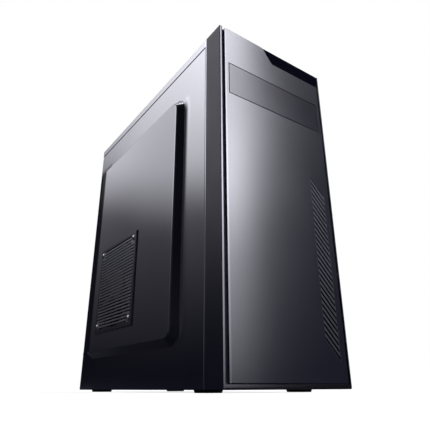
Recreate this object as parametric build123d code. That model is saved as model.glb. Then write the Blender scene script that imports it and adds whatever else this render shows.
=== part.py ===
from build123d import *
from math import cos, hypot, radians, sqrt, tan
import os

# Desktop computer tower, in millimetres. The pieces are laid out about the case's own datum: X = 0 on the
# middle plane between the side panels, Y = 0 on the face plate, Z = 0 under the panels. At the end every
# piece moves together to the row origin, which is on the floor in the middle of the bounding box.

# ---- driving dimensions -------------------------------------------------------------------------------
# case
body_h, body_d = 409.0, 368.0
bay_w, bay_h, bay_side = 148.0, 42.9, 11.0    # drive bay, and the least body width on each side of it
psu_w, psu_side = 150.0, 10.0    # power supply, and the least body width on each side of it
sheet = 0.7                      # chassis steel
skin = 0.7                       # side panel steel
gap = 0.3                        # between pieces that move past each other
half_w = max(bay_w / 2 + bay_side, psu_w / 2 + psu_side)
lip = 6.5                        # folded edges of the panels and the cover
pan_lift = 1.0                   # base pan above the panels' lower edge

# front bezel and face plate
bezel_d, bezel_wall = 30.0, 2.5
plate_t = 2.8                    # face plate, and the seat that it lies in
web_t = 2.5                      # bezel web behind the plate
rim_w, groove_w, groove_d = 3.5, 4.2, 4.0
right_rim_w, right_gap = 2.0, 0.6
chin_h, chin_gap, chin_chamfer = 4.6, 1.0, 1.7
plate_bevel, plate_edge = 1.5, 0.4
peg_r, peg_fit, peg_in, peg_past = 2.5, 0.15, 15.0, 6.0
peg_low, peg_drop, left_peg_down, right_peg_down = 14.0, 31.0, 131.8, 51.8

# drive bay cover
bay_x, bay_drop = 1.5, 72.2      # centre of the bay, from the middle plane and from the roof
bay_seam = 0.4
cover_rib, cover_rib_d = 1.6, 8.0
clip_w, clip_t, clip_l = 14.0, 1.4, 12.0

# diagonal vent
slot_count, slot_low, slot_under_bay = 28, 28.41, 93.2
slot_in, slot_run, slot_t = 35.0, 21.4, 2.9
mesh_t, mesh_margin, mesh_cell_w, mesh_cell_h, mesh_pitch = 1.2, 6.0, 8.6, 10.6, 12.0

# top insert with buttons and ports
insert_in, insert_foot_in, insert_h = 102.9, 87.5, 19.0
insert_inset, insert_t, insert_y1 = 0.6, 2.5, 27.0
power_in, power_r, power_travel = 19.0, 7.5, 1.8
reset_in, reset_r, reset_travel = 34.5, 2.6, 1.2
button_y, button_flange, button_flange_t, stem_r = 15.0, 1.6, 1.2, 1.6
board_drop, card_t = 13.0, 1.6
post_ins, post_y, post_r = (68.0, 34.5), 23.4, 1.8
usb_w, usb_h, usb_wall = 13.2, 5.8, 0.5
usb_ins = (77.0, 59.0)
tongue_w, tongue_t, tongue_l = 10.6, 1.7, 9.0
jack_r, jack_collar_r, jack_deep = 1.8, 3.2, 12.6
jack_ys, jack_in = (9.5, 20.5), 45.0
light_r, light_in, light_ys = 1.1, 6.4, (10.0, 20.0)

# side panels
panel_drop, cover_gap = 11.7, 0.9    # panels end this far below the roof, under the cover's folded edge
corner_r = 1.2
rear_lip = 11.5
tongue_reach, tongue_h, tongue_low, tongue_drop = 8.0, 40.0, 60.0, 57.3
emboss_y0, emboss_z0, emboss_rear, emboss_drop = 77.0, 42.3, 24.0, 43.0
emboss_h, emboss_r = 8.2, 20.0
thumb_in, thumb_low, thumb_drop = 7.0, 52.0, 52.3
thumb_r, thumb_l, thumb_shank_r, thumb_shank_l = 5.0, 7.0, 1.5, 6.5
screw_fit = 0.2

# side vent and its fan
vent_in, vent_up = 106.0, 93.0       # middle of the vent, from the raised field's rear and lower edges
grille_w, grille_h, grille_t, grille_bevel = 120.0, 124.0, 1.8, 0.8
grille_slots, grille_pitch, grille_slot_h = 27, 4.3, 2.3
grille_margin, grille_pad = 5.0, 13.5
side_fan_size, side_fan_edge = 120.0, 7.5
grille_screw_r, grille_screw_h, grille_shank_r, grille_shank_l = 4.4, 2.0, 2.0, 8.0

# fans
fan_flange, fan_barrel, fan_corner, fan_wall = 3.5, 1.6, 4.0, 2.0
fan_strut, fan_tip_gap = 4.0, 1.0
shaft_r, shaft_fit = 1.5, 0.05
blade_t, blade_turn = 1.5, 38.0

# feet
foot_r, foot_taper, foot_h, foot_inset = 15.0, 1.5, 2.7, 22.8
foot_front, foot_rear = 56.5, 32.8

# rear panel
thumb_hole_fit = 0.15
rear_fold = 10.0
rear_fan_size, rear_fan_d, rear_fan_edge = 80.0, 25.0, 4.25
rear_fan_in, rear_fan_drop = 51.0, 58.4
hex_across, hex_pitch = 7.0, 8.6
intake_r, intake_zs = 44.0, (95.0, 215.0)
screw_r, screw_head_r, screw_head_h = 1.6, 3.3, 2.0

# expansion slots
slot_step, slot_under_shield, slot_floor = 20.32, 17.75, 10.0
slot_open_w, cover_w, cover_t = 13.0, 18.4, 0.8
ledge_x, ledge_d = -49.7, 10.5
slot_end_x = 59.0

# board
tray_in, tray_past = 17.0, 7.3        # tray's plane from the right side, its front edge ahead of the board
standoff_h, standoff_r = 6.5, 2.5
board_t, board_side, board_rear_gap = 1.6, 244.0, 3.0
board_drop_below_psu = 3.4
board_hole_in = (10.16, 165.1, 237.5)
board_hole_down = (16.5, 171.5, 227.5)
shield_w, shield_h, shield_over, shield_t = 44.45, 158.75, 1.5, 0.5
shield_up, shield_drop = 3.8, 3.0
usb_stack_drops, lan_drop, video_drop, audio_drop = (26.0, 95.0), 115.0, 69.0, 136.0
port_proud, port_deep = 0.4, 18.0
stack_d, stack_h, usb_levels = 16.5, 14.4, (4.6, 12.0)
lan_w, lan_h = 16.0, 14.0
digital_h, digital_l, analogue_h, analogue_l, video_gap = 7.0, 15.0, 12.5, 31.0, 3.0
audio_side, audio_collar_r, audio_levels = 13.0, 4.2, (6.5, 18.0, 29.5)
audio_deep, audio_gap = 12.0, 0.1

# processor, memory, cards
cpu_in, cpu_drop, socket_w, socket_h = 93.3, 67.0, 42.0, 6.5
lid_w, lid_h, sink_legs, sink_leg_r = 34.0, 2.0, 75.0, 3.0
sink_w, sink_base, sink_fin_h, sink_fins, sink_fin_t = 90.0, 6.0, 26.0, 16, 1.3
cpu_fan_size, cpu_fan_d, cpu_fan_edge = 92.0, 25.0, 4.75
memory_ins, memory_drop, memory_l, memory_h = (185.3, 175.3), 74.0, 133.4, 31.2
memory_socket_h, memory_socket_w, memory_t = 7.0, 6.5, 1.3
card_socket_l, card_socket_w, card_socket_h, card_socket_in = 89.0, 7.5, 11.0, 50.0
header_l, header_w, header_h, header_in, header_drop = 52.0, 10.0, 13.0, 3.0, 61.0
drive_socket_l, drive_socket_w, drive_socket_h, drive_socket_in = 14.0, 7.0, 9.0, 2.0
drive_socket_ups = (31.0, 47.0)
panel_socket_l, panel_socket_w, panel_socket_in, panel_socket_up = 5.0, 12.0, 18.0, 7.0
chip_side, chip_base, chip_fin_h, chip_fins, chip_fin_t = 38.0, 5.0, 9.0, 8, 1.6
chip_in, chip_up = 55.0, 62.0

# power supply
psu_h, psu_d, psu_wall = 86.0, 140.0, 0.8
psu_top_gap = 1.9
psu_vent_x, psu_vent_columns = 6.0, 8
psu_fan_size, psu_fan_d, psu_fan_edge = 120.0, 25.0, 7.5
guard_rings, guard_wire, guard_eye_r = (24.0, 40.0, 56.0), 1.4, 4.0
inlet_x, inlet_w, inlet_h, inlet_deep = -48.0, 27.0, 20.0, 22.0
inlet_wall, inlet_cup, inlet_proud, pin_h, pin_w, pin_l = 1.8, 17.0, 1.2, 4.0, 2.0, 12.5
inlet_pins = ((-7.0, -2.0), (7.0, -2.0), (0.0, 2.5))
rocker_x, rocker_w, rocker_h, rocker_swing = -20.0, 12.6, 18.0, 14.0
holder_wall, holder_deep, pivot_in, pivot_r, pivot_l = 1.3, 14.0, 4.0, 1.2, 1.2

# drives
drive_cage_gap, drive_cage_y0, drive_cage_d, drive_cage_h = 1.0, 44.0, 128.0, 66.0
disk_w, disk_h, disk_d, disk_fit = 101.6, 26.1, 147.0, 0.3
disk_hole_in, disk_hole_step, disk_hole_up = 28.5, 101.6, 6.35
disk_inset, disk_lift, disk_step = 2.0, 7.3, 30.5
disk_lid, disk_lid_r = 2.0, 14.0
cage_clear = 1.3                 # between the bay's sleeve and the board tray

# wiring
power_cable_r, drive_cable_r, panel_cable_r = 3.7, 2.2, 1.8

# ---- places worked out from them ------------------------------------------------------------------------
web_y = plate_t + web_t                          # rear face of the bezel web
tray_x, slot_x0, jack_x, light_x = half_w - tray_in, half_w - slot_in, half_w - jack_in, half_w - light_in
insert_x0, insert_foot_x = half_w - insert_in, half_w - insert_foot_in
power_x, reset_x, rear_fan_x = half_w - power_in, half_w - reset_in, rear_fan_in - half_w
post_xs, usb_xs = [half_w - u for u in post_ins], [half_w - u for u in usb_ins]
plate_x0 = -half_w + rim_w + groove_w
plate_x1 = half_w - right_rim_w - right_gap
plate_z0 = chin_h + chin_gap
panel_top = body_h - panel_drop
bay_z = body_h - bay_drop
insert_z = body_h - insert_h
slot_top = bay_z - slot_under_bay
slot_pitch = (slot_top - slot_low - slot_run - slot_t) / (slot_count - 1)
peg_x = half_w - peg_in
peg_zs = {-1: (peg_low, bay_z - left_peg_down, body_h - peg_drop),
          1: (peg_low, bay_z - right_peg_down, body_h - peg_drop)}
panel_y0 = bezel_d + 0.2
cover_lip_z = panel_top + cover_gap              # underside of the top cover's folded edge
frame_half = half_w - lip - gap                  # front frame, clear of the panels' folds
rear_out = body_d - skin - gap                   # rear panel's outer face
rear_in = rear_out - sheet
pan_top = pan_lift + sheet
roof = body_h - sheet                            # underside of the top cover
chassis_half = half_w - skin - 0.6
fold_in = bezel_wall + gap + skin                # how far a panel's front fold reaches in
pan_half = half_w - fold_in - gap                # base pan, clear of that fold as the panel slides
psu_z1 = roof - psu_top_gap
psu_z0 = psu_z1 - psu_h
psu_y0 = rear_in - psu_d
psu_mid = (psu_z0 + psu_z1) / 2
psu_fan_y = (psu_y0 + rear_in) / 2
board_back = tray_x - standoff_h
board_front = board_back - board_t
board_y1 = rear_in - board_rear_gap
board_y0 = board_y1 - board_side
board_top = psu_z0 - board_drop_below_psu
board_z0 = board_top - board_side
tray_y0 = board_y0 - tray_past
cpu_y, cpu_z = board_y1 - cpu_in, board_top - cpu_drop
memory_ys, memory_z = [board_y1 - u for u in memory_ins], board_top - memory_drop
header_y, header_z = board_y0 + header_in + header_w / 2, board_top - header_drop
drive_socket_y = board_y0 + drive_socket_in + drive_socket_w / 2
drive_socket_zs = [board_z0 + u for u in drive_socket_ups]
panel_socket_y = board_y0 + panel_socket_in + panel_socket_w / 2
panel_socket_z = board_z0 + panel_socket_up
card_z = body_h - insert_t - board_drop          # front port board's upper face
emboss_y1, emboss_z1 = body_d - emboss_rear, panel_top - emboss_drop
plateau_x = -half_w - emboss_h                   # outer face of the raised field
vent_y, vent_z = emboss_y1 - vent_in, emboss_z0 + vent_up
tongue_zs = (tongue_low, (tongue_low + panel_top - tongue_drop) / 2, panel_top - tongue_drop)
thumb_zs = (thumb_low, panel_top - thumb_drop)
foot_ys = (foot_front, body_d - foot_rear)
side_fan_screws = side_fan_size - 2 * side_fan_edge
rear_fan_screws = rear_fan_size - 2 * rear_fan_edge
cpu_fan_screws = cpu_fan_size - 2 * cpu_fan_edge
psu_fan_screws = psu_fan_size - 2 * psu_fan_edge
rear_fan_z = psu_z0 - rear_fan_drop
thumb_x = half_w - thumb_in
rear_reach = rear_out + ledge_d
left_reach = half_w + emboss_h + grille_t + grille_screw_h
right_reach = half_w + emboss_h
shield_x1 = board_front + shield_up
shield_x0 = shield_x1 - shield_w
shield_top = board_top - shield_drop
shield_z0 = shield_top - shield_h
usb_stack_zs = [shield_top - u for u in usb_stack_drops]
lan_z, video_z, audio_z = shield_top - lan_drop, shield_top - video_drop, shield_top - audio_drop
slot_first_z = shield_z0 - slot_under_shield
slots = int((slot_first_z - pan_top - slot_floor) / slot_step) + 1
slot_zs = [slot_first_z - slot_step * i for i in range(slots)]
disk_y0, disk_z0 = drive_cage_y0 + disk_inset, pan_top + disk_lift
drive_cage_x = board_front - drive_socket_h - drive_cage_gap - disk_w / 2 - disk_fit - sheet
bay_cage_d = tray_y0 - cage_clear - bezel_d - sheet


# ---- small shapes used throughout -----------------------------------------------------------------------
def block(x0, x1, y0, y1, z0, z1):
    """Box between two opposite corners."""
    return Pos((x0 + x1) / 2, (y0 + y1) / 2, (z0 + z1) / 2) * Box(x1 - x0, y1 - y0, z1 - z0)


def from_front(outline, y, depth):
    """Outline drawn in X and Z, grown rearwards from y."""
    return extrude(Plane(origin=(0, y, 0), x_dir=(1, 0, 0), z_dir=(0, -1, 0)) * outline, amount=-depth)


def from_side(outline, x, depth):
    """Outline drawn in Y and Z, grown towards +X from x."""
    return extrude(Plane(origin=(x, 0, 0), x_dir=(0, 1, 0), z_dir=(1, 0, 0)) * outline, amount=depth)


def from_floor(outline, z, depth):
    """Outline drawn in X and Y, grown upwards from z."""
    return extrude(Plane.XY.offset(z) * outline, amount=depth)


def rod(base, axis, radius, length):
    """Round bar from base along axis."""
    start = Plane(origin=base, z_dir=axis)
    return extrude(start * Circle(radius), amount=length)


def square(size):
    """The four corners of a screw square."""
    half = size / 2
    return [(u, v) for u in (-half, half) for v in (-half, half)]


def join(pieces):
    """Separate solids of one node, kept apart."""
    return Compound(children=list(pieces))


def fan_frame(size, depth, screws, screw_hole):
    """Square fan frame on the XY plane: two flanges, a round barrel, struts and a bearing tube below."""
    bore = size / 2 - fan_wall
    hub = size * 0.17
    flange = RectangleRounded(size, size, fan_corner)
    body = extrude(flange, amount=fan_flange)
    body += Pos(0, 0, depth - fan_flange) * extrude(flange, amount=fan_flange)
    body += extrude(Circle(bore + fan_barrel), amount=depth) & Box(size, size, 3 * depth)
    body -= Pos(0, 0, -1) * extrude(Circle(bore), amount=depth + 2)
    for u, v in square(screws):
        body -= Pos(u, v, -1) * extrude(Circle(screw_hole), amount=depth + 2)
    carrier = extrude(Circle(hub), amount=fan_flange - 0.5)
    for i in range(4):
        arm = Pos(bore / 2, 0, (fan_flange - 0.5) / 2) * Box(bore + fan_barrel / 2, fan_strut, fan_flange - 0.5)
        carrier += Rot(0, 0, 45 + 90 * i) * arm
    carrier += extrude(Circle(shaft_r + 2.2), amount=depth - 7)
    carrier -= Pos(0, 0, 1.0) * extrude(Circle(shaft_r + shaft_fit), amount=depth)
    return body + carrier


def fan_rotor(size, depth, blades):
    """Rotor that turns in fan_frame about Z: hub cup, shaft and pitched, curved blades."""
    bore = size / 2 - fan_wall
    tip = bore - fan_tip_gap
    hub = size * 0.17
    low, high = fan_flange + 0.5, depth - 1.0
    cup = Pos(0, 0, low) * extrude(Circle(hub), amount=high - low)
    cup -= Pos(0, 0, low - 1) * extrude(Circle(hub - 1.5), amount=high - low - 0.8)
    cup += Pos(0, 0, 2.0) * extrude(Circle(shaft_r), amount=high - 2.5)
    span = high - low - 1.0
    run = span / tan(radians(blade_turn))            # how far a blade sweeps round as it rises
    rise = Vector(run / 2, span / 2)
    sag = Vector(-rise.Y, rise.X).normalized() * (0.16 * rise.length)
    over = Vector(0, blade_t / cos(radians(blade_turn)))
    lower = ThreePointArc(-rise, sag, rise)
    upper = ThreePointArc(rise + over, sag + over, -rise + over)
    section = make_face([lower, Line(rise, rise + over), upper, Line(-rise + over, -rise)])
    middle = low + 0.5 + span / 2 - over.Y / 2
    stock = extrude(Plane(origin=(hub - 1.0, 0, middle), x_dir=(0, 1, 0), z_dir=(1, 0, 0)) * section,
                    amount=tip)
    ring = Pos(0, 0, low) * extrude(Circle(tip), amount=high - low)
    ring -= Pos(0, 0, low - 1) * extrude(Circle(hub - 0.8), amount=depth)
    blade = stock & ring
    for i in range(blades):
        cup += Rot(0, 0, 360 * i / blades) * blade
    return cup


def pan_screw(base, axis, head_r, head_h, shank_r, shank_l):
    """Screw whose head stands on base, against axis, with the shank going along axis."""
    base, axis = Vector(*base), Vector(*axis)
    head = rod(base - axis * head_h, axis, head_r, head_h)
    far = head.faces().sort_by(Axis(base, axis))[0]
    head = chamfer(far.edges(), head_h * 0.3)
    return head + rod(base, axis, shank_r, shank_l)


def hexagons(radius):
    """Centres of a honeycomb inside a circle."""
    rows = int(radius / (hex_pitch * sqrt(3) / 2)) + 1
    centres = []
    for row in range(-rows, rows + 1):
        shift = hex_pitch / 2 if row % 2 else 0
        for column in range(-rows - 1, rows + 2):
            u, v = column * hex_pitch + shift, row * hex_pitch * sqrt(3) / 2
            if hypot(u, v) + hex_across * 0.58 <= radius:
                centres.append((u, v))
    return centres


def hex_hole(x, z, y, depth):
    """One hole of a honeycomb, as the tool that cuts it through a sheet square to Y."""
    return from_front(Pos(x, z) * RegularPolygon(hex_across / 2, 6, major_radius=False), y, depth)


def cable(points, radius):
    """Wire along straight runs joined by arcs as large as the runs allow."""
    path = [Vector(*p) for p in points]
    radii = []
    for before, here, after in zip(path, path[1:], path[2:]):
        turn = radians((here - before).get_angle(after - here))
        radii.append(0.45 * min((here - before).length, (after - here).length) / tan(turn / 2))
    print("cable radii", [round(r, 1) for r in radii])
    line = FilletPolyline(*points, radius=radii)
    start = Plane(origin=path[0], z_dir=path[1] - path[0])
    return sweep(start * Circle(radius), path=line)


# ---- chassis ----------------------------------------------------------------------------------------------
def base_pan():
    """Bottom of the chassis with upturned sides and a screw hole over each foot."""
    y0 = bezel_d
    pan = block(-pan_half, pan_half, y0, rear_in, pan_lift, pan_top + 12)
    pan -= block(-pan_half + sheet, pan_half - sheet, y0 - 1, rear_in + 1, pan_top, pan_top + 13)
    for x, y in foot_places():
        pan -= rod((x, y, pan_lift - 1), (0, 0, 1), screw_r + 0.1, sheet + 2)
    return pan


def foot_places():
    return [(side * (half_w - foot_inset), y) for side in (-1, 1) for y in foot_ys]


def feet():
    """Round moulded feet, each pinned up through the base pan."""
    made = []
    for x, y in foot_places():
        foot = Pos(x, y, -foot_h) * Cone(
            foot_r - foot_taper, foot_r, foot_h + pan_lift, align=(Align.CENTER, Align.CENTER, Align.MIN))
        foot += rod((x, y, pan_lift), (0, 0, 1), screw_r, sheet + 1.5)
        foot -= rod((x, y, -foot_h - 1), (0, 0, 1), foot_r * 0.45, 1.8)
        made.append(foot)
    return join(made)


def front_frame():
    """Steel front of the chassis with the drive bay, an air intake and holes for the bezel's pegs."""
    frame = block(-frame_half, frame_half, bezel_d, bezel_d + sheet, pan_top, roof)
    for side in (-1, 1):
        edge, inner = side * frame_half, side * (frame_half - sheet)
        frame += block(min(edge, inner), max(edge, inner), bezel_d, bezel_d + 14, pan_top + 13, panel_top - 4)
    cut = bezel_d - 1
    frame -= block(bay_x - bay_w / 2, bay_x + bay_w / 2, cut, cut + 3, bay_z - bay_h / 2, bay_z + bay_h / 2)
    frame -= block(-48, 20, cut, cut + 3, body_h - 38, body_h - 24)
    tools = [rod((x, cut, z), (0, 1, 0), peg_r + peg_fit, 3) for x, z in peg_places()]
    for z in intake_zs:
        tools += [hex_hole(u, z + v, cut, 3) for u, v in hexagons(intake_r)]
    return frame - tools


def peg_places():
    return [(side * peg_x, z) for side in (-1, 1) for z in peg_zs[side]]


def top_cover():
    """Folded steel roof whose side flanges stand above the side panels."""
    y0 = panel_y0
    cover = block(-half_w, half_w, y0, body_d, cover_lip_z, body_h)
    long_edges = cover.edges().filter_by(Axis.Y).sort_by(Axis.Z)[-2:]
    cover = fillet(long_edges, corner_r)
    cover -= block(-half_w + sheet, half_w - sheet, y0 - 1, body_d + 1, cover_lip_z + sheet, roof)
    cover -= block(-half_w + lip, half_w - lip, y0 - 1, body_d + 1, cover_lip_z - 1, cover_lip_z + sheet + 1)
    return cover


def rear_panel():
    """Steel back of the chassis, cut for the power supply, ports, fan and expansion slots."""
    y0, cut = rear_in, rear_in - 1
    panel = block(-chassis_half, chassis_half, y0, rear_out, pan_lift, roof)
    for side in (-1, 1):
        outer, inner = side * chassis_half, side * (chassis_half - sheet)
        panel += block(min(outer, inner), max(outer, inner), y0 - rear_fold, y0, pan_top + 13, panel_top - 4)
        edge = side * (half_w - lip - gap)
        notch = sorted((edge, side * half_w))
        panel -= block(*notch, cut, cut + 4, panel_top - skin - gap, cover_lip_z + sheet + gap)
    for x in (-thumb_x, thumb_x):
        for z in thumb_zs:
            panel -= rod((x, cut, z), (0, 1, 0), thumb_shank_r + thumb_hole_fit, 4)
    panel -= block(-psu_w / 2 + 5, psu_w / 2 - 5, cut, cut + 4, psu_z0 + 6, psu_z1 - 6)
    for u, v in psu_screw_places():
        panel -= rod((u, cut, v), (0, 1, 0), screw_r + 0.2, 4)
    panel -= [hex_hole(rear_fan_x + u, rear_fan_z + v, cut, 4) for u, v in hexagons(rear_fan_size / 2 - 2)]
    for u, v in square(rear_fan_screws):
        panel -= rod((rear_fan_x + u, cut, rear_fan_z + v), (0, 1, 0), screw_r + 0.6, 4)
    panel -= block(shield_x0, shield_x1, cut, cut + 4, shield_z0, shield_top)
    for z in slot_zs:
        panel -= block(ledge_x + 6, slot_end_x - 7, cut, cut + 4, z - slot_open_w / 2, z + slot_open_w / 2)
    slit_low, slit_high = slot_zs[-1] - cover_w / 2 - gap, slot_zs[0] + cover_w / 2 + gap
    panel -= block(ledge_x - cover_t - gap, ledge_x + 0.05, cut, cut + 4, slit_low, slit_high)
    return panel


def psu_screw_places():
    half = psu_w / 2 - 6
    over = psu_h / 2 - 6
    return [(-half, psu_mid + over), (half, psu_mid + over - 10), (-half, psu_mid - over),
            (half, psu_mid - over)]


def slot_ledge():
    """Angle behind the rear panel that the slot covers are screwed to."""
    low, high = slot_zs[-1] - cover_w / 2, slot_zs[0] + cover_w / 2
    ledge = block(ledge_x, ledge_x + sheet, rear_out, rear_out + ledge_d, low, high)
    ledge += block(ledge_x, ledge_x + 5.0, rear_out, rear_out + sheet, low, high)
    for z in slot_zs:
        ledge -= rod((ledge_x - 1, rear_out + ledge_d / 2, z), (1, 0, 0), screw_r + 0.1, 4)
    return ledge


def slot_covers():
    """Blanking plates of the expansion slots, with the tab that bends out to the ledge."""
    made = []
    for z in slot_zs:
        low, high = z - cover_w / 2 + 0.2, z + cover_w / 2 - 0.2
        plate = block(ledge_x - cover_t, slot_end_x - 3, rear_in - cover_t, rear_in, low, high)
        plate += block(slot_end_x - 3, slot_end_x + 5, rear_in - cover_t, rear_in, z - 4.5, z + 4.5)
        plate += block(ledge_x - cover_t, ledge_x, rear_in - cover_t, rear_out + ledge_d, low, high)
        plate -= rod((ledge_x - 4, rear_out + ledge_d / 2, z), (1, 0, 0), screw_r + 0.4, 8)
        made.append(plate)
    return join(made)


def board_tray():
    """Plate that carries the motherboard, with a window behind the processor and a shelf for the supply."""
    top = psu_z0
    y1 = rear_in
    tray = block(tray_x, tray_x + sheet, tray_y0, y1, pan_top, top)
    tray += block(tray_x - 9, tray_x + sheet, psu_y0 + 2, y1, top - sheet, top)
    tray += block(tray_x, tray_x + 9, tray_y0, tray_y0 + sheet, pan_top, top)
    tray -= from_side(Pos(cpu_y, cpu_z) * RectangleRounded(110, 84, 6), tray_x - 1, 4)
    for z in (board_z0 - 23, board_top - 102):
        tray -= from_side(Pos(tray_y0 + 14, z) * RectangleRounded(14, 28, 4), tray_x - 1, 4)
    for y, z in board_holes():
        tray -= rod((tray_x - 1, y, z), (1, 0, 0), screw_r + 0.1, 4)
    return tray


def board_holes():
    grid = [(board_y1 - u, board_top - v) for u in board_hole_in for v in board_hole_down]
    return grid[:7] + grid[8:]


def bay_cage():
    """Sheet sleeve behind the upper bay that a full-width drive slides into."""
    y0, y1 = bezel_d + sheet, bezel_d + sheet + bay_cage_d
    x0, x1 = bay_x - bay_w / 2 - sheet, bay_x + bay_w / 2 + sheet
    z0, z1 = bay_z - bay_h / 2 - sheet, bay_z + bay_h / 2 + sheet
    cage = block(x0, x1, y0, y1, z0, z1)
    cage -= block(x0 + sheet, x1 - sheet, y0 - 1, y1 + 1, z0 + sheet, z1 - sheet)
    cage -= block(x0 + 14, x1 - 14, y0 + 16, y1 - 16, z0 - 1, z1 + 1)
    for side in (x0 - 1, x1 - sheet - 1):
        for y in (y0 + bay_cage_d / 4, y0 + bay_cage_d * 3 / 4):
            cage -= from_side(Pos(y, bay_z - 8) * SlotOverall(14, 3.6), side, 4)
    return cage


def drive_cage():
    """Open sheet cage on the base pan with two disk positions, one above the other."""
    x0, x1 = drive_cage_x - disk_w / 2 - disk_fit - sheet, drive_cage_x + disk_w / 2 + disk_fit + sheet
    y0, y1 = drive_cage_y0, drive_cage_y0 + drive_cage_d
    z1 = pan_top + drive_cage_h
    cage = block(x0, x1, y0, y1, pan_top, z1)
    cage -= block(x0 + sheet, x1 - sheet, y0 - 1, y1 + 1, pan_top + sheet, z1 - sheet)
    cage -= block(x0 + 16, x1 - 16, y0 + 18, y1 - 18, z1 - 2, z1 + 1)
    holes = [rod((x0 - 1, y, z + level), (1, 0, 0), screw_r + 0.2, x1 - x0 + 2)
             for y, z in disk_screw_places() for level in (0, disk_step)]
    return cage - holes


def disk_screw_places():
    rear = disk_y0 + disk_d - disk_hole_in
    return [(rear, disk_z0 + disk_hole_up), (rear - disk_hole_step, disk_z0 + disk_hole_up)]


# ---- front ------------------------------------------------------------------------------------------------
def bezel():
    """Front moulding: side flanks, left rim, deep groove beside the plate's seat, chin and snap pegs."""
    body = block(-half_w, half_w, 0, bezel_d, 0, body_h)
    under = body.edges().filter_by(Axis.X).group_by(Axis.Y)[0].sort_by(Axis.Z)[0]
    body = chamfer(under, chin_chamfer)
    upright = body.edges().filter_by(Axis.Z).group_by(Axis.Y)[0]
    body = fillet(upright, 0.8)
    body -= block(-half_w + bezel_wall, half_w - bezel_wall, web_y, bezel_d + 1, bezel_wall,
                  body_h - bezel_wall)
    body -= block(plate_x0 - groove_w, plate_x1 + right_gap, -1, plate_t, chin_h, body_h + 1)
    body -= block(plate_x0 - groove_w, plate_x0 - 0.2, -1, groove_d, chin_h + 2, body_h + 1)
    back = plate_t - 1
    body -= block(bay_x - bay_w / 2, bay_x + bay_w / 2, back, back + 6, bay_z - bay_h / 2, bay_z + bay_h / 2)
    vent_low = slot_top - slot_run - (slot_count - 1) * slot_pitch
    body -= block(slot_x0 - 3, slot_x0 + slot_run + 3, back, back + 6, vent_low - 4, slot_top + 4)
    well = Polyline((insert_x0 - gap, body_h + 2), (insert_x0 - gap, body_h - 1),
                    (insert_foot_x - gap, insert_z - gap),
                    (plate_x1, insert_z - gap), (plate_x1, body_h + 2), close=True)
    body -= from_front(make_face(well), -1, insert_y1 + 1 + gap)
    for x, z in peg_places():
        body += rod((x, web_y, z), (0, 1, 0), peg_r, bezel_d - web_y + sheet + peg_past)
    return body


def slot_outline(index):
    """One diagonal slot of the vent: upright ends, falling to the right at 45 degrees."""
    top = slot_top - index * slot_pitch
    run, low = slot_x0 + slot_run, top - slot_run
    return make_face(Polyline((slot_x0, top), (run, low), (run, low - slot_t), (slot_x0, top - slot_t),
                              close=True))


def insert_outline(inset):
    """Front shape of the black insert: a sloping left end and a level foot, open to the right."""
    return make_face(Polyline(
        (insert_x0 + inset, body_h), (insert_foot_x + inset * 0.6, insert_z + inset),
        (plate_x1 - inset, insert_z + inset), (plate_x1 - inset, body_h), close=True))


def face_plate():
    """Face plate with a bevelled left edge, the bay opening, the insert's notch and the diagonal slots."""
    plate = block(plate_x0, plate_x1, 0, plate_t, plate_z0, body_h)
    front = plate.faces().sort_by(Axis.Y)[0].edges()
    left = front.sort_by(Axis.X)[0]
    right = front.sort_by(Axis.X)[-1]
    plate = chamfer(left, plate_bevel)
    plate = chamfer(plate.edges().filter_by(Axis.Z).group_by(Axis.Y)[0].sort_by(Axis.X)[-1], plate_edge)
    plate -= block(bay_x - bay_w / 2, bay_x + bay_w / 2, -1, 4, bay_z - bay_h / 2, bay_z + bay_h / 2)
    notch = Polyline((insert_x0, body_h + 1), (insert_x0, body_h), (insert_foot_x, insert_z),
                     (plate_x1 + 1, insert_z), (plate_x1 + 1, body_h + 1), close=True)
    plate -= from_front(make_face(notch), -1, plate_t + 2)
    slots_cut = Sketch() + [slot_outline(i) for i in range(slot_count)]
    return plate - from_front(slots_cut, -1, plate_t + 2)


def bay_cover():
    """Flush cover of the drive bay: a ribbed tray with two spring clips that reach into the cage."""
    w, h = bay_w - 2 * bay_seam, bay_h - 2 * bay_seam
    cover = from_front(Pos(bay_x, bay_z) * Rectangle(w, h), 0, plate_t)
    rim = Rectangle(w - 1.0, h - 1.0) - Rectangle(w - 1.0 - 2 * cover_rib, h - 1.0 - 2 * cover_rib)
    cover += from_front(Pos(bay_x, bay_z) * rim, plate_t, cover_rib_d)
    for side in (-1, 1):
        x = bay_x + side * (w / 2 - 0.5 - clip_t / 2)
        start = plate_t + cover_rib_d
        arm = block(x - clip_t / 2, x + clip_t / 2, start, start + clip_l, bay_z - clip_w / 2,
                    bay_z + clip_w / 2)
        cover += arm
    return cover


def vent_mesh():
    """Moulded dust mesh behind the diagonal slots, seated on the back of the bezel web."""
    low = slot_top - slot_run - (slot_count - 1) * slot_pitch - mesh_margin
    high, x0, x1 = slot_top + mesh_margin, slot_x0 - mesh_margin, slot_x0 + slot_run + mesh_margin
    mesh = block(x0, x1, web_y, web_y + mesh_t, low, high)
    cells = int((high - low - 8) / mesh_pitch)
    holes = Sketch()
    for i in range(cells):
        for x in (x0 + 11, (x0 + x1) / 2, x1 - 11):
            holes += Pos(x, low + 4 + mesh_pitch * (i + 0.5)) * Rectangle(mesh_cell_w, mesh_cell_h)
    return mesh - from_front(holes, web_y - 1, mesh_t + 2)


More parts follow.
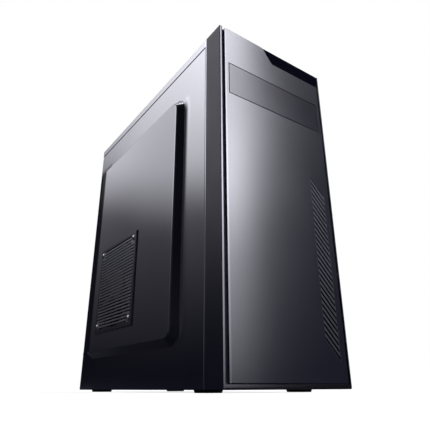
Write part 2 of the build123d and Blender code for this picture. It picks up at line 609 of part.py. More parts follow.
def top_insert():
    """Black insert that turns from the front over the top edge, with holes for buttons and ports."""
    body = from_front(insert_outline(gap), insert_inset, insert_y1 - insert_inset)
    body -= block(insert_x0 - 1, plate_x1 + 1, insert_inset + insert_t, insert_y1 + 1, insert_z - 1,
                  body_h - insert_t)
    for x in post_xs:
        body += rod((x, post_y, card_z), (0, 0, 1), post_r, body_h - insert_t - card_z)
    cut = body_h - insert_t - 1
    for x, r in ((power_x, power_r), (reset_x, reset_r)):
        body -= rod((x, button_y, cut), (0, 0, 1), r + gap, insert_t + 2)
    for x in usb_xs:
        body -= block(x - usb_w / 2 - 0.15, x + usb_w / 2 + 0.15, button_y - usb_h / 2 - 0.15,
                      button_y + usb_h / 2 + 0.15, cut, body_h + 1)
    for y in jack_ys:
        body -= rod((jack_x, y, cut), (0, 0, 1), jack_collar_r + 0.15, insert_t + 2)
    for y in light_ys:
        body -= rod((light_x, y, cut), (0, 0, 1), light_r + 0.1, insert_t + 2)
    return body


def port_board():
    """Small circuit board under the insert that carries the switches, ports and lights."""
    board = block(insert_foot_x, plate_x1 - 1.5, web_y + 1.5, insert_y1 - 0.5, card_z - card_t, card_z)
    for x, travel in ((power_x, power_travel), (reset_x, reset_travel)):
        board += block(x - 3, x + 3, button_y - 3, button_y + 3, card_z, card_z + 4.0)
    return board


def button(x, radius, travel):
    """Push button: dished cap, retaining flange under the insert and a stem down to its switch."""
    under = body_h - insert_t
    cap = rod((x, button_y, under - 0.5), (0, 0, 1), radius, insert_t + 0.5)
    cap = chamfer(cap.edges().filter_by(GeomType.CIRCLE).sort_by(Axis.Z)[-1], 0.4)
    cap += rod((x, button_y, under - gap - button_flange_t), (0, 0, 1), radius + button_flange, button_flange_t)
    switch_top = card_z + 4.0
    stem_low = switch_top + travel + gap
    return cap + rod((x, button_y, stem_low), (0, 0, 1), stem_r, under - stem_low)


def power_button():
    return button(power_x, power_r, power_travel)


def reset_button():
    return button(reset_x, reset_r, reset_travel)


def usb_socket(deep):
    """Metal socket with its plastic tongue, mouth up, standing on the XY plane."""
    shell = Pos(0, 0, deep / 2) * Box(usb_w, usb_h, deep)
    inside = Pos(0, 0, deep / 2 + 1.5) * Box(usb_w - 2 * usb_wall, usb_h - 2 * usb_wall, deep)
    tongue = Pos(0, 0.9, 1.5 + tongue_l / 2) * Box(tongue_w, tongue_t, tongue_l)
    return shell - inside + tongue


def front_usb_ports():
    deep = body_h - 0.2 - card_z
    return join([Pos(x, button_y, card_z) * usb_socket(deep) for x in usb_xs])


def audio_jack(deep):
    """Jack body with a round collar and its bore, mouth up, standing on the XY plane."""
    jack = Pos(0, 0, (deep - insert_t - 0.5) / 2) * Box(8, 8, deep - insert_t - 0.5)
    jack += extrude(Circle(jack_collar_r), amount=deep)
    return jack - Pos(0, 0, deep - jack_deep) * extrude(Circle(jack_r), amount=jack_deep + 1)


def front_audio_jacks():
    deep = body_h - 0.1 - card_z
    return join([Pos(jack_x, y, card_z) * audio_jack(deep) for y in jack_ys])


def status_lights():
    high = body_h - card_z
    return join([rod((light_x, y, card_z), (0, 0, 1), light_r, high) for y in light_ys])


# ---- side panels ------------------------------------------------------------------------------------------
def raised_field(offset, x, height):
    """Tapered block of the raised field, its outline taken in by offset, standing towards -X from x."""
    wide, high = emboss_y1 - emboss_y0 - 2 * offset, emboss_z1 - emboss_z0 - 2 * offset
    face = Plane(origin=(x, (emboss_y0 + emboss_y1) / 2, (emboss_z0 + emboss_z1) / 2),
                 x_dir=(0, -1, 0), z_dir=(-1, 0, 0))
    return extrude(face * RectangleRounded(wide, high, emboss_r - offset), amount=height, taper=45)


def side_skin():
    """Left side panel without its vent: folded edges, front tongues, rear screw flange, raised field."""
    shell = block(-half_w, -half_w + lip, panel_y0, body_d, 0, panel_top)
    outer = shell.faces().sort_by(Axis.X)[0].edges()
    shell = fillet(outer, corner_r)
    shell -= block(-half_w + skin, -half_w + lip + 1, panel_y0 + skin, body_d - skin, skin, panel_top - skin)
    shell -= block(-half_w + fold_in, -half_w + lip + 1, panel_y0 - 1, panel_y0 + skin + 0.1,
                   skin, panel_top - skin)
    shell += block(-half_w + lip, -half_w + rear_lip, body_d - skin, body_d, pan_top + 10, panel_top - 3)
    tongue_x = -half_w + bezel_wall + gap
    for z in tongue_zs:
        shell += block(tongue_x, tongue_x + skin, panel_y0 - tongue_reach, panel_y0 + skin,
                       z - tongue_h / 2, z + tongue_h / 2)
    for z in thumb_zs:
        shell -= rod((-thumb_x, body_d - skin - 1, z), (0, 1, 0), thumb_shank_r + 0.5, 4)
    inset = skin * (sqrt(2) - 1)
    shell += raised_field(0, -half_w, emboss_h)
    return shell - raised_field(inset, -half_w + skin, emboss_h)


def left_panel():
    """Left side panel, with the round fan opening and its screw holes through the raised field."""
    panel = side_skin()
    panel -= rod((plateau_x - 1, vent_y, vent_z), (1, 0, 0), side_fan_size / 2 - 3, 4)
    for u, v in square(side_fan_screws):
        panel -= rod((plateau_x - 1, vent_y + u, vent_z + v), (1, 0, 0), grille_shank_r + screw_fit, 4)
    return panel


def right_panel():
    return mirror(side_skin(), about=Plane.YZ)


def thumbscrews(side):
    """Captive thumbscrews of one panel: knurled head, neck and shank through the rear flange."""
    made = []
    for z in thumb_zs:
        x = side * thumb_x
        head = RegularPolygon(thumb_r, 16)
        screw = Pos(x, body_d, z) * Rot(-90, 0, 0) * extrude(head, amount=thumb_l)
        screw -= rod((x, body_d + thumb_l - 1.5, z), (0, 1, 0), thumb_r * 0.55, 2)
        screw += rod((x, body_d - thumb_shank_l, z), (0, 1, 0), thumb_shank_r, thumb_shank_l + 1)
        made.append(screw)
    return join(made)


def left_thumbscrews():
    return thumbscrews(-1)


def right_thumbscrews():
    return thumbscrews(1)


def side_grille():
    """Raised square grille of the side vent: bevelled plate with level slots and screw pads."""
    low = plateau_x - grille_t
    plate = from_side(Pos(vent_y, vent_z) * Rectangle(grille_w, grille_h), low, grille_t)
    plate = chamfer(plate.faces().sort_by(Axis.X)[0].edges(), grille_bevel)
    openings = Sketch()
    for i in range(grille_slots):
        v = (i - (grille_slots - 1) / 2) * grille_pitch
        beside_screw = abs(abs(v) - side_fan_screws / 2) < grille_screw_r + grille_slot_h / 2
        margin = grille_pad if beside_screw else grille_margin
        openings += Pos(vent_y, vent_z + v) * Rectangle(grille_w - 2 * margin, grille_slot_h)
    plate -= from_side(openings, low - 1, grille_t + 2)
    for u, v in square(side_fan_screws):
        plate -= rod((low - 1, vent_y + u, vent_z + v), (1, 0, 0), grille_shank_r + screw_fit, grille_t + 2)
    return plate


def grille_screws():
    base = plateau_x - grille_t
    return join([pan_screw((base, vent_y + u, vent_z + v), (1, 0, 0), grille_screw_r, grille_screw_h,
                           grille_shank_r, grille_shank_l) for u, v in square(side_fan_screws)])


def side_fan_place():
    """Fan's mounting flange against the inside of the raised field, hub struts on the inner side."""
    return Pos(plateau_x + skin + rear_fan_d, vent_y, vent_z) * Rot(0, -90, 0)


def side_fan_frame():
    return side_fan_place() * fan_frame(side_fan_size, rear_fan_d, side_fan_screws, grille_shank_r + 0.1)


def side_fan_rotor():
    return side_fan_place() * fan_rotor(side_fan_size, rear_fan_d, 7)


# ---- rear fan ---------------------------------------------------------------------------------------------
def rear_fan_place():
    return Pos(rear_fan_x, rear_in - rear_fan_d, rear_fan_z) * Rot(-90, 0, 0)


def rear_fan_frame():
    return rear_fan_place() * fan_frame(rear_fan_size, rear_fan_d, rear_fan_screws, screw_r + 0.1)


def rear_fan_rotor():
    return rear_fan_place() * fan_rotor(rear_fan_size, rear_fan_d, 7)


def rear_fan_screws_node():
    return join([pan_screw((rear_fan_x + u, rear_out, rear_fan_z + v), (0, -1, 0), screw_head_r, screw_head_h,
                           screw_r, 9.0) for u, v in square(rear_fan_screws)])


# ---- power supply -----------------------------------------------------------------------------------------
def psu_case():
    """Power supply housing: folded box with a fan opening below and a honeycomb towards the rear."""
    half, y1 = psu_w / 2, rear_in
    case = block(-half, half, psu_y0, y1, psu_z0, psu_z1)
    case -= block(-half + psu_wall, half - psu_wall, psu_y0 + psu_wall, y1 - psu_wall,
                  psu_z0 + psu_wall, psu_z1 - psu_wall)
    case -= rod((0, psu_fan_y, psu_z0 - 1), (0, 0, 1), psu_fan_size / 2 - 3, psu_wall + 2)
    for u, v in square(psu_fan_screws):
        case -= rod((u, psu_fan_y + v, psu_z0 - 1), (0, 0, 1), screw_r + 0.2, psu_wall + 2)
    holes = []
    for row in range(-3, 4):
        for column in range(psu_vent_columns):
            u = psu_vent_x + column * hex_pitch - (hex_pitch / 2 if row % 2 else 0)
            holes.append(hex_hole(u, psu_mid + row * hex_pitch * sqrt(3) / 2, y1 - 2, 4))
    case -= holes
    case -= block(inlet_x - inlet_w / 2, inlet_x + inlet_w / 2, y1 - 2, y1 + 1,
                  psu_mid - inlet_h / 2, psu_mid + inlet_h / 2)
    frame_w, frame_h = rocker_w + 2 * holder_wall + 0.4, rocker_h + 2 * holder_wall + 0.4
    case -= block(rocker_x - frame_w / 2, rocker_x + frame_w / 2, y1 - 2, y1 + 1,
                  psu_mid - frame_h / 2, psu_mid + frame_h / 2)
    for u, v in psu_screw_places():
        case -= rod((u, y1 - 2, v), (0, 1, 0), screw_r + 0.1, 4)
    case -= rod((30, psu_y0 - 1, psu_mid - 8), (0, 1, 0), power_cable_r + 0.3, 4)
    return case


def psu_fan_place():
    return Pos(0, psu_fan_y, psu_z0 + psu_wall + psu_fan_d) * Rot(180, 0, 0)


def psu_fan_frame():
    return psu_fan_place() * fan_frame(psu_fan_size, psu_fan_d, psu_fan_screws, screw_r + 0.1)


def psu_fan_rotor():
    return psu_fan_place() * fan_rotor(psu_fan_size, psu_fan_d, 7)


def psu_fan_guard():
    """Wire guard under the supply's fan: rings on crossed bars that end in screw eyes."""
    guard = Sketch()
    for radius in guard_rings:
        guard += Circle(radius) - Circle(radius - guard_wire)
    reach = psu_fan_screws / sqrt(2)
    for i in (0, 1):
        guard += Rot(0, 0, 45 + 90 * i) * Rectangle(2 * reach, guard_wire)
    for u, v in square(psu_fan_screws):
        guard += Pos(u, v) * Circle(guard_eye_r)
    for u, v in square(psu_fan_screws):
        guard -= Pos(u, v) * Circle(screw_r + 0.2)
    return from_floor(Pos(0, psu_fan_y) * guard, psu_z0 - guard_wire, guard_wire)


def psu_inlet():
    """Inlet and switch module: mains inlet with three pins, and the frame that the rocker pivots in."""
    face = rear_in + inlet_proud
    w, h = inlet_w - 0.4, inlet_h - 0.4
    module = block(inlet_x - w / 2, inlet_x + w / 2, rear_in - inlet_deep, face, psu_mid - h / 2,
                   psu_mid + h / 2)
    cup_w, cup_h = w - 2 * inlet_wall, h - 2 * inlet_wall
    module -= block(inlet_x - cup_w / 2, inlet_x + cup_w / 2, face - inlet_cup, face + 1,
                    psu_mid - cup_h / 2, psu_mid + cup_h / 2)
    for x, z in inlet_pins:
        module += block(inlet_x + x - pin_w / 2, inlet_x + x + pin_w / 2, face - inlet_cup - 1,
                        face - inlet_cup - 1 + pin_l, psu_mid + z - pin_h / 2, psu_mid + z + pin_h / 2)
    fw, fh = rocker_w + 2 * holder_wall, rocker_h + 2 * holder_wall
    holder = block(rocker_x - fw / 2, rocker_x + fw / 2, rear_in - holder_deep, face,
                   psu_mid - fh / 2, psu_mid + fh / 2)
    holder -= block(rocker_x - rocker_w / 2 - gap, rocker_x + rocker_w / 2 + gap, rear_in - holder_deep + 1.5,
                    face + 1, psu_mid - rocker_h / 2 - gap, psu_mid + rocker_h / 2 + gap)
    holder -= rod((rocker_x - fw / 2 - 1, rear_in - pivot_in, psu_mid), (1, 0, 0), pivot_r + shaft_fit, fw + 2)
    bridge = block(inlet_x + w / 2 - 1, rocker_x - fw / 2, rear_in - 12, rear_in - psu_wall - gap,
                   psu_mid - 4, psu_mid + 4)
    return module + holder + bridge


def psu_switch():
    """Rocker: two shallow faces that meet over the pivot pins, resting tilted to one side."""
    half = rocker_h / 2 - 0.4
    pivot = (rocker_x - rocker_w / 2, rear_in - pivot_in, psu_mid)
    outline = Polyline((-half, 2.2), (0, 4.6), (half, 2.2), (half - 3.5, -2.5), (-half + 3.5, -2.5), close=True)
    upright = Plane(origin=pivot, x_dir=(0, 0, 1), z_dir=(-1, 0, 0))
    rocker = extrude(upright * make_face(outline), amount=-rocker_w)
    rocker += rod((pivot[0] - pivot_l, pivot[1], psu_mid), (1, 0, 0), pivot_r, rocker_w + 2 * pivot_l)
    return rocker.rotate(Axis(pivot, (1, 0, 0)), rocker_swing / 2)


# ---- motherboard ------------------------------------------------------------------------------------------
def motherboard():
    board = block(board_front, board_back, board_y0, board_y1, board_z0, board_top)
    for y, z in board_holes():
        board -= rod((board_front - 1, y, z), (1, 0, 0), screw_r + 0.4, board_t + 2)
    return board


def standoffs():
    """Hexagon spacers between the tray and the board, each with a stud through the tray."""
    made = []
    for y, z in board_holes():
        hexagon = Pos(y, z) * RegularPolygon(standoff_r, 6, major_radius=False)
        spacer = from_side(hexagon, board_back, standoff_h)
        spacer -= rod((board_back - 1, y, z), (1, 0, 0), screw_r, 5.0)
        spacer += rod((tray_x, y, z), (1, 0, 0), screw_r, sheet + 1.5)
        made.append(spacer)
    return join(made)


def board_screws():
    return join([pan_screw((board_front, y, z), (1, 0, 0), screw_head_r - 0.3, screw_head_h, screw_r - 0.1, 4.8)
                 for y, z in board_holes()])


def cpu_socket():
    """Socket with the processor's lid on top."""
    half, lid = socket_w / 2, lid_w / 2
    top = board_front - socket_h
    socket = block(top + lid_h, board_front, cpu_y - half, cpu_y + half, cpu_z - half, cpu_z + half)
    return socket + block(top, top + lid_h, cpu_y - lid, cpu_y + lid, cpu_z - lid, cpu_z + lid)


def cpu_heatsink():
    """Finned block on the processor with four fixing legs down to the board."""
    base_x = board_front - socket_h
    half = sink_w / 2
    sink = block(base_x - sink_base, base_x, cpu_y - half, cpu_y + half, cpu_z - half, cpu_z + half)
    pitch = (sink_w - sink_fin_t) / (sink_fins - 1)
    for i in range(sink_fins):
        y = cpu_y - half + i * pitch
        sink += block(base_x - sink_base - sink_fin_h, base_x - sink_base, y, y + sink_fin_t,
                      cpu_z - half, cpu_z + half)
    for u, v in square(sink_legs):
        sink += rod((base_x - 1, cpu_y + u, cpu_z + v), (1, 0, 0), sink_leg_r, board_front - base_x + 1)
    return sink


def cpu_fan_place():
    face = board_front - socket_h - sink_base - sink_fin_h
    return Pos(face, cpu_y, cpu_z) * Rot(0, -90, 0)


def cpu_fan_frame():
    return cpu_fan_place() * fan_frame(cpu_fan_size, cpu_fan_d, cpu_fan_screws, screw_r + 0.1)


def cpu_fan_rotor():
    return cpu_fan_place() * fan_rotor(cpu_fan_size, cpu_fan_d, 7)


def memory_slots():
    """Long sockets with a groove for the module and a latch block at each end."""
    made = []
    for y in memory_ys:
        half = memory_l / 2 + 4
        top = board_front - memory_socket_h
        slot = block(top, board_front, y - memory_socket_w / 2, y + memory_socket_w / 2,
                     memory_z - half, memory_z + half)
        for z in (memory_z - half, memory_z + half - 3.5):
            slot += block(top - 9, top, y - memory_socket_w / 2, y + memory_socket_w / 2, z, z + 3.5)
        slot -= block(top - 1, board_front - 3, y - memory_t / 2 - 0.1, y + memory_t / 2 + 0.1,
                      memory_z - memory_l / 2 - 0.2, memory_z + memory_l / 2 + 0.2)
        made.append(slot)
    return join(made)


def memory_modules():
    made = []
    for y in memory_ys:
        low = board_front - 3
        card = block(low - memory_h, low, y - memory_t / 2, y + memory_t / 2,
                     memory_z - memory_l / 2, memory_z + memory_l / 2)
        for i in range(8):
            z = memory_z - memory_l / 2 + 8 + i * 15.2
            card += block(low - memory_h + 6, low - memory_h + 18, y + memory_t / 2, y + memory_t / 2 + 1.0,
                          z, z + 9)
        made.append(card)
    return join(made)


def expansion_slots():
    """Card sockets on the board, in line with the rear slot openings that the board reaches."""
    made = []
    for z in slot_zs:
        if z - card_socket_w / 2 > board_z0 + 2:
            y1 = board_y1 - card_socket_in
            socket = block(board_front - card_socket_h, board_front, y1 - card_socket_l, y1,
                           z - card_socket_w / 2, z + card_socket_w / 2)
            socket -= block(board_front - card_socket_h - 1, board_front - 3, y1 - card_socket_l + 3, y1 - 3,
                            z - 1.0, z + 1.0)
            made.append(socket)
    return join(made)


def chipset_heatsink():
    y, z, half = board_y0 + chip_in, board_z0 + chip_up, chip_side / 2
    top = board_front - chip_base
    sink = block(top, board_front, y - half, y + half, z - half, z + half)
    for i in range(chip_fins):
        fin = y - half + i * (chip_side - chip_fin_t) / (chip_fins - 1)
        sink += block(top - chip_fin_h, top, fin, fin + chip_fin_t, z - half, z + half)
    return sink


def board_sockets():
    """Power header beside the memory, and the drive and panel sockets at the board's front edge."""
    half_l, half_w = header_l / 2, header_w / 2
    power = block(board_front - header_h, board_front, header_y - half_w, header_y + half_w,
                  header_z - half_l, header_z + half_l)
    power -= block(board_front - header_h - 1, board_front - 4, header_y - half_w + 1.2,
                   header_y + half_w - 1.2,
                   header_z - half_l + 1.2, header_z + half_l - 1.2)
    made = [power]
    for z in drive_socket_zs:
        made.append(block(board_front - drive_socket_h, board_front, drive_socket_y - drive_socket_w / 2,
                          drive_socket_y + drive_socket_w / 2, z - drive_socket_l / 2, z + drive_socket_l / 2))
    made.append(block(board_front - drive_socket_h, board_front, panel_socket_y - panel_socket_w / 2,
                      panel_socket_y + panel_socket_w / 2, panel_socket_z - panel_socket_l / 2,
                      panel_socket_z + panel_socket_l / 2))
    return join(made)


# ---- rear ports -------------------------------------------------------------------------------------------
def rear_usb_ports():
    """Two-high stacks of sockets on the board's rear edge."""
    made = []
    mouth = rear_in + port_proud
    for z in usb_stack_zs:
        stack = block(board_front - stack_d, board_front, mouth - port_deep, mouth, z - stack_h / 2,
                      z + stack_h / 2)
        for level in usb_levels:
            x = board_front - level
            stack -= block(x - usb_h / 2 + usb_wall, x + usb_h / 2 - usb_wall, mouth - 12, mouth + 1,
                           z - usb_w / 2 + usb_wall, z + usb_w / 2 - usb_wall)
            stack += block(x + 0.1, x + 0.1 + tongue_t, mouth - 12.5, mouth - 3, z - tongue_w / 2,
                           z + tongue_w / 2)
        made.append(stack)
    return join(made)


def rear_lan_port():
    """Network socket over the board's rear edge, with the latch step in its mouth."""
    mouth = rear_in + port_proud
    port = block(board_front - lan_h, board_front, mouth - port_deep, mouth, lan_z - lan_w / 2,
                 lan_z + lan_w / 2)
    port -= block(board_front - lan_h + 2.4, board_front - 3.2, mouth - 13, mouth + 1, lan_z - 5.9, lan_z + 5.9)
    return port - block(board_front - 4.0, board_front - 1.4, mouth - 13, mouth + 1, lan_z - 3, lan_z + 3)


def video_places():
    """Lower and upper end of the digital and the analogue picture socket."""
    low = video_z - digital_l - video_gap / 2
    return (low, low + digital_l), (low + digital_l + video_gap, low + digital_l + video_gap + analogue_l)


def rear_video_ports():
    """Digital and analogue picture sockets, one above the other."""
    mouth = rear_in + port_proud
    (low, high), (low2, high2) = video_places()
    digital = block(board_front - digital_h, board_front, mouth - 12, mouth, low, high)
    digital -= block(board_front - digital_h + 1, board_front - 1.4, mouth - 9, mouth + 1, low + 1, high - 1)
    analogue = block(board_front - analogue_h, board_front, mouth - 12, mouth, low2, high2)
    analogue -= block(board_front - analogue_h + 2, board_front - 2, mouth - 1.5, mouth + 1, low2 + 7,
                      high2 - 7)
    return join([digital, analogue])


def rear_audio_jacks():
    """Stack of three round jacks, each a block of its own."""
    mouth = rear_in + port_proud
    edges = (0, (audio_levels[0] + audio_levels[1]) / 2, (audio_levels[1] + audio_levels[2]) / 2,
             audio_levels[2] + audio_side / 2)
    made = []
    for level, low, high in zip(audio_levels, edges, edges[1:]):
        jack = block(board_front - high + audio_gap, board_front - low, mouth - audio_deep - 2, mouth - 1.5,
                     audio_z - audio_side / 2, audio_z + audio_side / 2)
        jack += rod((board_front - level, mouth - 1.5, audio_z), (0, 1, 0), audio_collar_r, 1.5)
        made.append(jack - rod((board_front - level, mouth - audio_deep, audio_z), (0, 1, 0), jack_r,
                               audio_deep + 1))
    return join(made)


def io_shield():
    """Sprung metal shield round the ports, clipped against the inside of the rear panel."""
    over = shield_over
    plate = block(shield_x0 - over, shield_x1 + over, rear_in - shield_t, rear_in,
                  shield_z0 - over, shield_top + over)
    cut, slack = rear_in - shield_t - 1, 0.4
    windows = [(stack_d, z - stack_h / 2, z + stack_h / 2) for z in usb_stack_zs]
    windows += [(lan_h, lan_z - lan_w / 2, lan_z + lan_w / 2)]
    windows += [(tall, *ends) for tall, ends in zip((digital_h, analogue_h), video_places())]
    for tall, low, high in windows:
        plate -= block(board_front - tall - slack, board_front + slack, cut, cut + shield_t + 2,
                       low - slack, high + slack)
    for level in audio_levels:
        plate -= rod((board_front - level, cut, audio_z), (0, 1, 0), audio_collar_r + slack, shield_t + 2)
    return plate


# ---- drives -----------------------------------------------------------------------------------------------
def hard_drive():
    """Disk with its raised lid, in the lower position of the cage."""
    x0, x1 = drive_cage_x - disk_w / 2, drive_cage_x + disk_w / 2
    lid_z = disk_z0 + disk_h - disk_lid
    disk = block(x0, x1, disk_y0, disk_y0 + disk_d, disk_z0, lid_z)
    lid = RectangleRounded(disk_w - 8, disk_d - 20, disk_lid_r)
    disk += from_floor(Pos(drive_cage_x, disk_y0 + disk_d / 2 - 6) * lid, lid_z, disk_lid)
    for x, direction in ((x0, 1), (x1, -1)):
        for y, z in disk_screw_places():
            disk -= rod((x - direction, y, z), (direction, 0, 0), screw_r + 0.1, 6.0)
    return disk


def case_screws():
    """The same pan screw throughout: slot covers, power supply and both sides of the disk."""
    places = [((ledge_x - cover_t, rear_out + ledge_d / 2, z), (1, 0, 0), 4.0) for z in slot_zs]
    places += [((x, rear_out, z), (0, -1, 0), 5.0) for x, z in psu_screw_places()]
    for side in (-1, 1):
        base = drive_cage_x + side * (disk_w / 2 + disk_fit + sheet)
        places += [((base, y, z), (-side, 0, 0), 4.5) for y, z in disk_screw_places()]
    return join([pan_screw(base, axis, screw_head_r, screw_head_h, screw_r - 0.1, length)
                 for base, axis, length in places])


# ---- wiring -----------------------------------------------------------------------------------------------
def board_power_cable():
    """Loom from the power supply down to the board's power header."""
    exit_z = psu_mid - 8
    return cable([(30, psu_y0 + 3, exit_z), (30, psu_y0 - 36.5, exit_z), (26, header_y + 32.7, psu_z0 + 17.6),
                  (16, header_y + 14.7, board_top - 9), (10, header_y, header_z + 20), (22, header_y, header_z),
                  (board_front - 4.5, header_y, header_z)], power_cable_r)


def drive_cable():
    """Data lead from the disk up to the board's lower socket."""
    disk_y1, disk_z, end_z = disk_y0 + disk_d, disk_z0 + 11, drive_socket_zs[0]
    return cable([(20, disk_y1, disk_z), (20, disk_y1 + 29, disk_z), (14, disk_y1 + 53, disk_z + 18),
                  (2, disk_y1 + 53, disk_z + 48), (-6, disk_y1 + 25, end_z - 12), (-6, board_y0 + 61, end_z),
                  (4, board_y0 + 23, end_z), (24, drive_socket_y, end_z),
                  (board_front - drive_socket_h, drive_socket_y, end_z)], drive_cable_r)


def panel_cable():
    """Lead from the front port board, over the drive cage and down to the board's front corner."""
    start, front, under = usb_xs[0], button_y + 1, card_z - card_t
    return cable([(start, front, under), (start, front, under - 9), (start, front + 16, under - 14),
                  (start, front + 44, under - 16), (start, board_y0 - 9, under - 17),
                  (start - 2, board_y0 + 36, under - 23), (start - 8, board_y0 + 59, board_top + 25),
                  (start - 12, board_y0 + 65, board_top - 17), (start - 14, board_y0 + 59, board_top - 67),
                  (start - 14, board_y0 + 47, board_top - 117), (start - 10, board_y0 + 35, board_top - 167),
                  (start - 2, board_y0 + 27, panel_socket_z + 32),
                  (board_front - 37.9, panel_socket_y, panel_socket_z),
                  (board_front - drive_socket_h, panel_socket_y, panel_socket_z)], panel_cable_r)


nodes = {
    "base_pan": base_pan, "feet": feet, "front_frame": front_frame, "top_cover": top_cover,
    "rear_panel": rear_panel, "slot_ledge": slot_ledge, "slot_covers": slot_covers, "case_screws": case_screws,
    "board_tray": board_tray, "bay_cage": bay_cage, "drive_cage": drive_cage,
    "front_bezel": bezel, "face_plate": face_plate, "bay_cover": bay_cover, "vent_mesh": vent_mesh,
    "top_insert": top_insert, "port_board": port_board, "power_button": power_button,
    "reset_button": reset_button, "front_usb_ports": front_usb_ports, "front_audio_jacks": front_audio_jacks,
    "status_lights": status_lights,
    "left_panel": left_panel, "left_thumbscrews": left_thumbscrews, "side_grille": side_grille,
    "grille_screws": grille_screws, "side_fan_frame": side_fan_frame, "side_fan_rotor": side_fan_rotor,
    "right_panel": right_panel, "right_thumbscrews": right_thumbscrews,
    "rear_fan_frame": rear_fan_frame, "rear_fan_rotor": rear_fan_rotor, "rear_fan_screws": rear_fan_screws_node,
    "psu_case": psu_case, "psu_fan_frame": psu_fan_frame, "psu_fan_rotor": psu_fan_rotor,
    "psu_fan_guard": psu_fan_guard, "psu_inlet": psu_inlet, "psu_switch": psu_switch,
    "motherboard": motherboard, "standoffs": standoffs, "board_screws": board_screws, "cpu_socket": cpu_socket,
    "cpu_heatsink": cpu_heatsink, "cpu_fan_frame": cpu_fan_frame, "cpu_fan_rotor": cpu_fan_rotor,
    "memory_slots": memory_slots, "memory_modules": memory_modules, "expansion_slots": expansion_slots,
    "chipset_heatsink": chipset_heatsink, "board_sockets": board_sockets,
    "rear_usb_ports": rear_usb_ports, "rear_lan_port": rear_lan_port, "rear_video_ports": rear_video_ports,
    "rear_audio_jacks": rear_audio_jacks, "io_shield": io_shield,
    "hard_drive": hard_drive, "board_power_cable": board_power_cable, "drive_cable": drive_cable,
    "panel_cable": panel_cable,
}

place = Location(((left_reach - right_reach) / 2, -rear_reach / 2, foot_h))
os.makedirs("parts", exist_ok=True)
for name, make in nodes.items():
    export_step(place * make(), f"parts/{name}.step")
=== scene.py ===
import math

import bmesh
import bpy
from mathutils import Matrix, Vector


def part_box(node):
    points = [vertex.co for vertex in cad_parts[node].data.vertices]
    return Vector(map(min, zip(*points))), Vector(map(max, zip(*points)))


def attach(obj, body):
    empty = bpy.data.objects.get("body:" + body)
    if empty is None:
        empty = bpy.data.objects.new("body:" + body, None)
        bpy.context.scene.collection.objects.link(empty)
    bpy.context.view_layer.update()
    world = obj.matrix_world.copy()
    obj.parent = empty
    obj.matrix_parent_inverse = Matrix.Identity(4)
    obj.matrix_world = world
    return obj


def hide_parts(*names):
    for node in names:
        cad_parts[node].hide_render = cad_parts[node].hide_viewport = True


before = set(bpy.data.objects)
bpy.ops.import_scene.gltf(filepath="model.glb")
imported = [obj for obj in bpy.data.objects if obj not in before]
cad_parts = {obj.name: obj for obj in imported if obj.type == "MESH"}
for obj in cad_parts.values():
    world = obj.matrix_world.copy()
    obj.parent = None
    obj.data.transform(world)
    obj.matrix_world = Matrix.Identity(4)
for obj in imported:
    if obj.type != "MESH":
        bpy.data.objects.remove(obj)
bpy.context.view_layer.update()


# ---- viewpoint --------------------------------------------------------------------------------------------
# The tower is seen from low down at its front left corner, with the lens tilted up
# and the near upright edges almost parallel to the picture's sides.
eye = Vector((-0.3175, -0.51105, 0.00436))
turn, tilt, lean = math.radians(35.08), math.radians(21.85), math.radians(-0.223)
ahead = Vector((math.sin(turn) * math.cos(tilt), math.cos(turn) * math.cos(tilt), math.sin(tilt)))
level = Vector((math.cos(turn), -math.sin(turn), 0.0))
upward = level.cross(ahead)
across = math.cos(lean) * level + math.sin(lean) * upward
upward = math.cos(lean) * upward - math.sin(lean) * level
lens = bpy.data.cameras.new("viewpoint")
lens.sensor_width, lens.lens = 36.0, 36.153
lens.clip_start, lens.clip_end = 0.01, 60.0
viewpoint = bpy.data.objects.new("viewpoint", lens)
viewpoint.matrix_world = Matrix((
    (across.x, upward.x, -ahead.x, eye.x),
    (across.y, upward.y, -ahead.y, eye.y),
    (across.z, upward.z, -ahead.z, eye.z),
    (0.0, 0.0, 0.0, 1.0)))
bpy.context.scene.collection.objects.link(viewpoint)
bpy.context.scene.camera = viewpoint
bpy.context.scene.view_settings.view_transform = "Standard"


# ---- studio light -----------------------------------------------------------------------------------------
# Soft boxes all round, each a patch of sky between two bearings and two heights, and almost dark between
# them. Bearings are in degrees from the front, positive towards the tower's right side. The camera, and rays
# through glass, see plain white instead.
def put(tree, sockets, values):
    """Fills sockets, by name or number, with a socket to link or a plain value."""
    for key, value in dict(values).items():
        if isinstance(value, bpy.types.NodeSocket):
            tree.links.new(value, sockets[key])
        else:
            sockets[key].default_value = value


def add(tree, kind, inputs=(), **settings):
    """One node with its settings and its inputs."""
    node = tree.nodes.new(kind)
    for key, value in settings.items():
        setattr(node, key, value)
    put(tree, node.inputs, inputs)
    return node


def ramp(tree, value, low, high, start=0.0, end=1.0, **settings):
    """start where the value is low, end where it is high, and flat beyond both."""
    ends = {"From Min": low, "From Max": high, "To Min": start, "To Max": end}
    return add(tree, "ShaderNodeMapRange", {"Value": value, **ends}, **settings).outputs[0]


def maths(tree, operation, *values, **settings):
    """Result of one Math node."""
    return add(tree, "ShaderNodeMath", dict(enumerate(values)), operation=operation, **settings).outputs[0]


def product(tree, first, *others):
    """Values multiplied together, or the overlap of masks."""
    for other in others:
        first = maths(tree, "MULTIPLY", first, other)
    return first


def split(tree, vector):
    """X, Y and Z of a vector."""
    return add(tree, "ShaderNodeSeparateXYZ", {0: vector}).outputs


def new_group(name, kind, takes, gives):
    """Empty node group with named sockets, and its input and output nodes."""
    group = bpy.data.node_groups.new(name, kind)
    for label, socket, value in takes:
        made = group.interface.new_socket(name=label, in_out="INPUT", socket_type=socket)
        if value is not None:
            made.default_value = value
    for label, socket in gives:
        group.interface.new_socket(name=label, in_out="OUTPUT", socket_type=socket)
    return group, group.nodes.new("NodeGroupInput").outputs, group.nodes.new("NodeGroupOutput").inputs


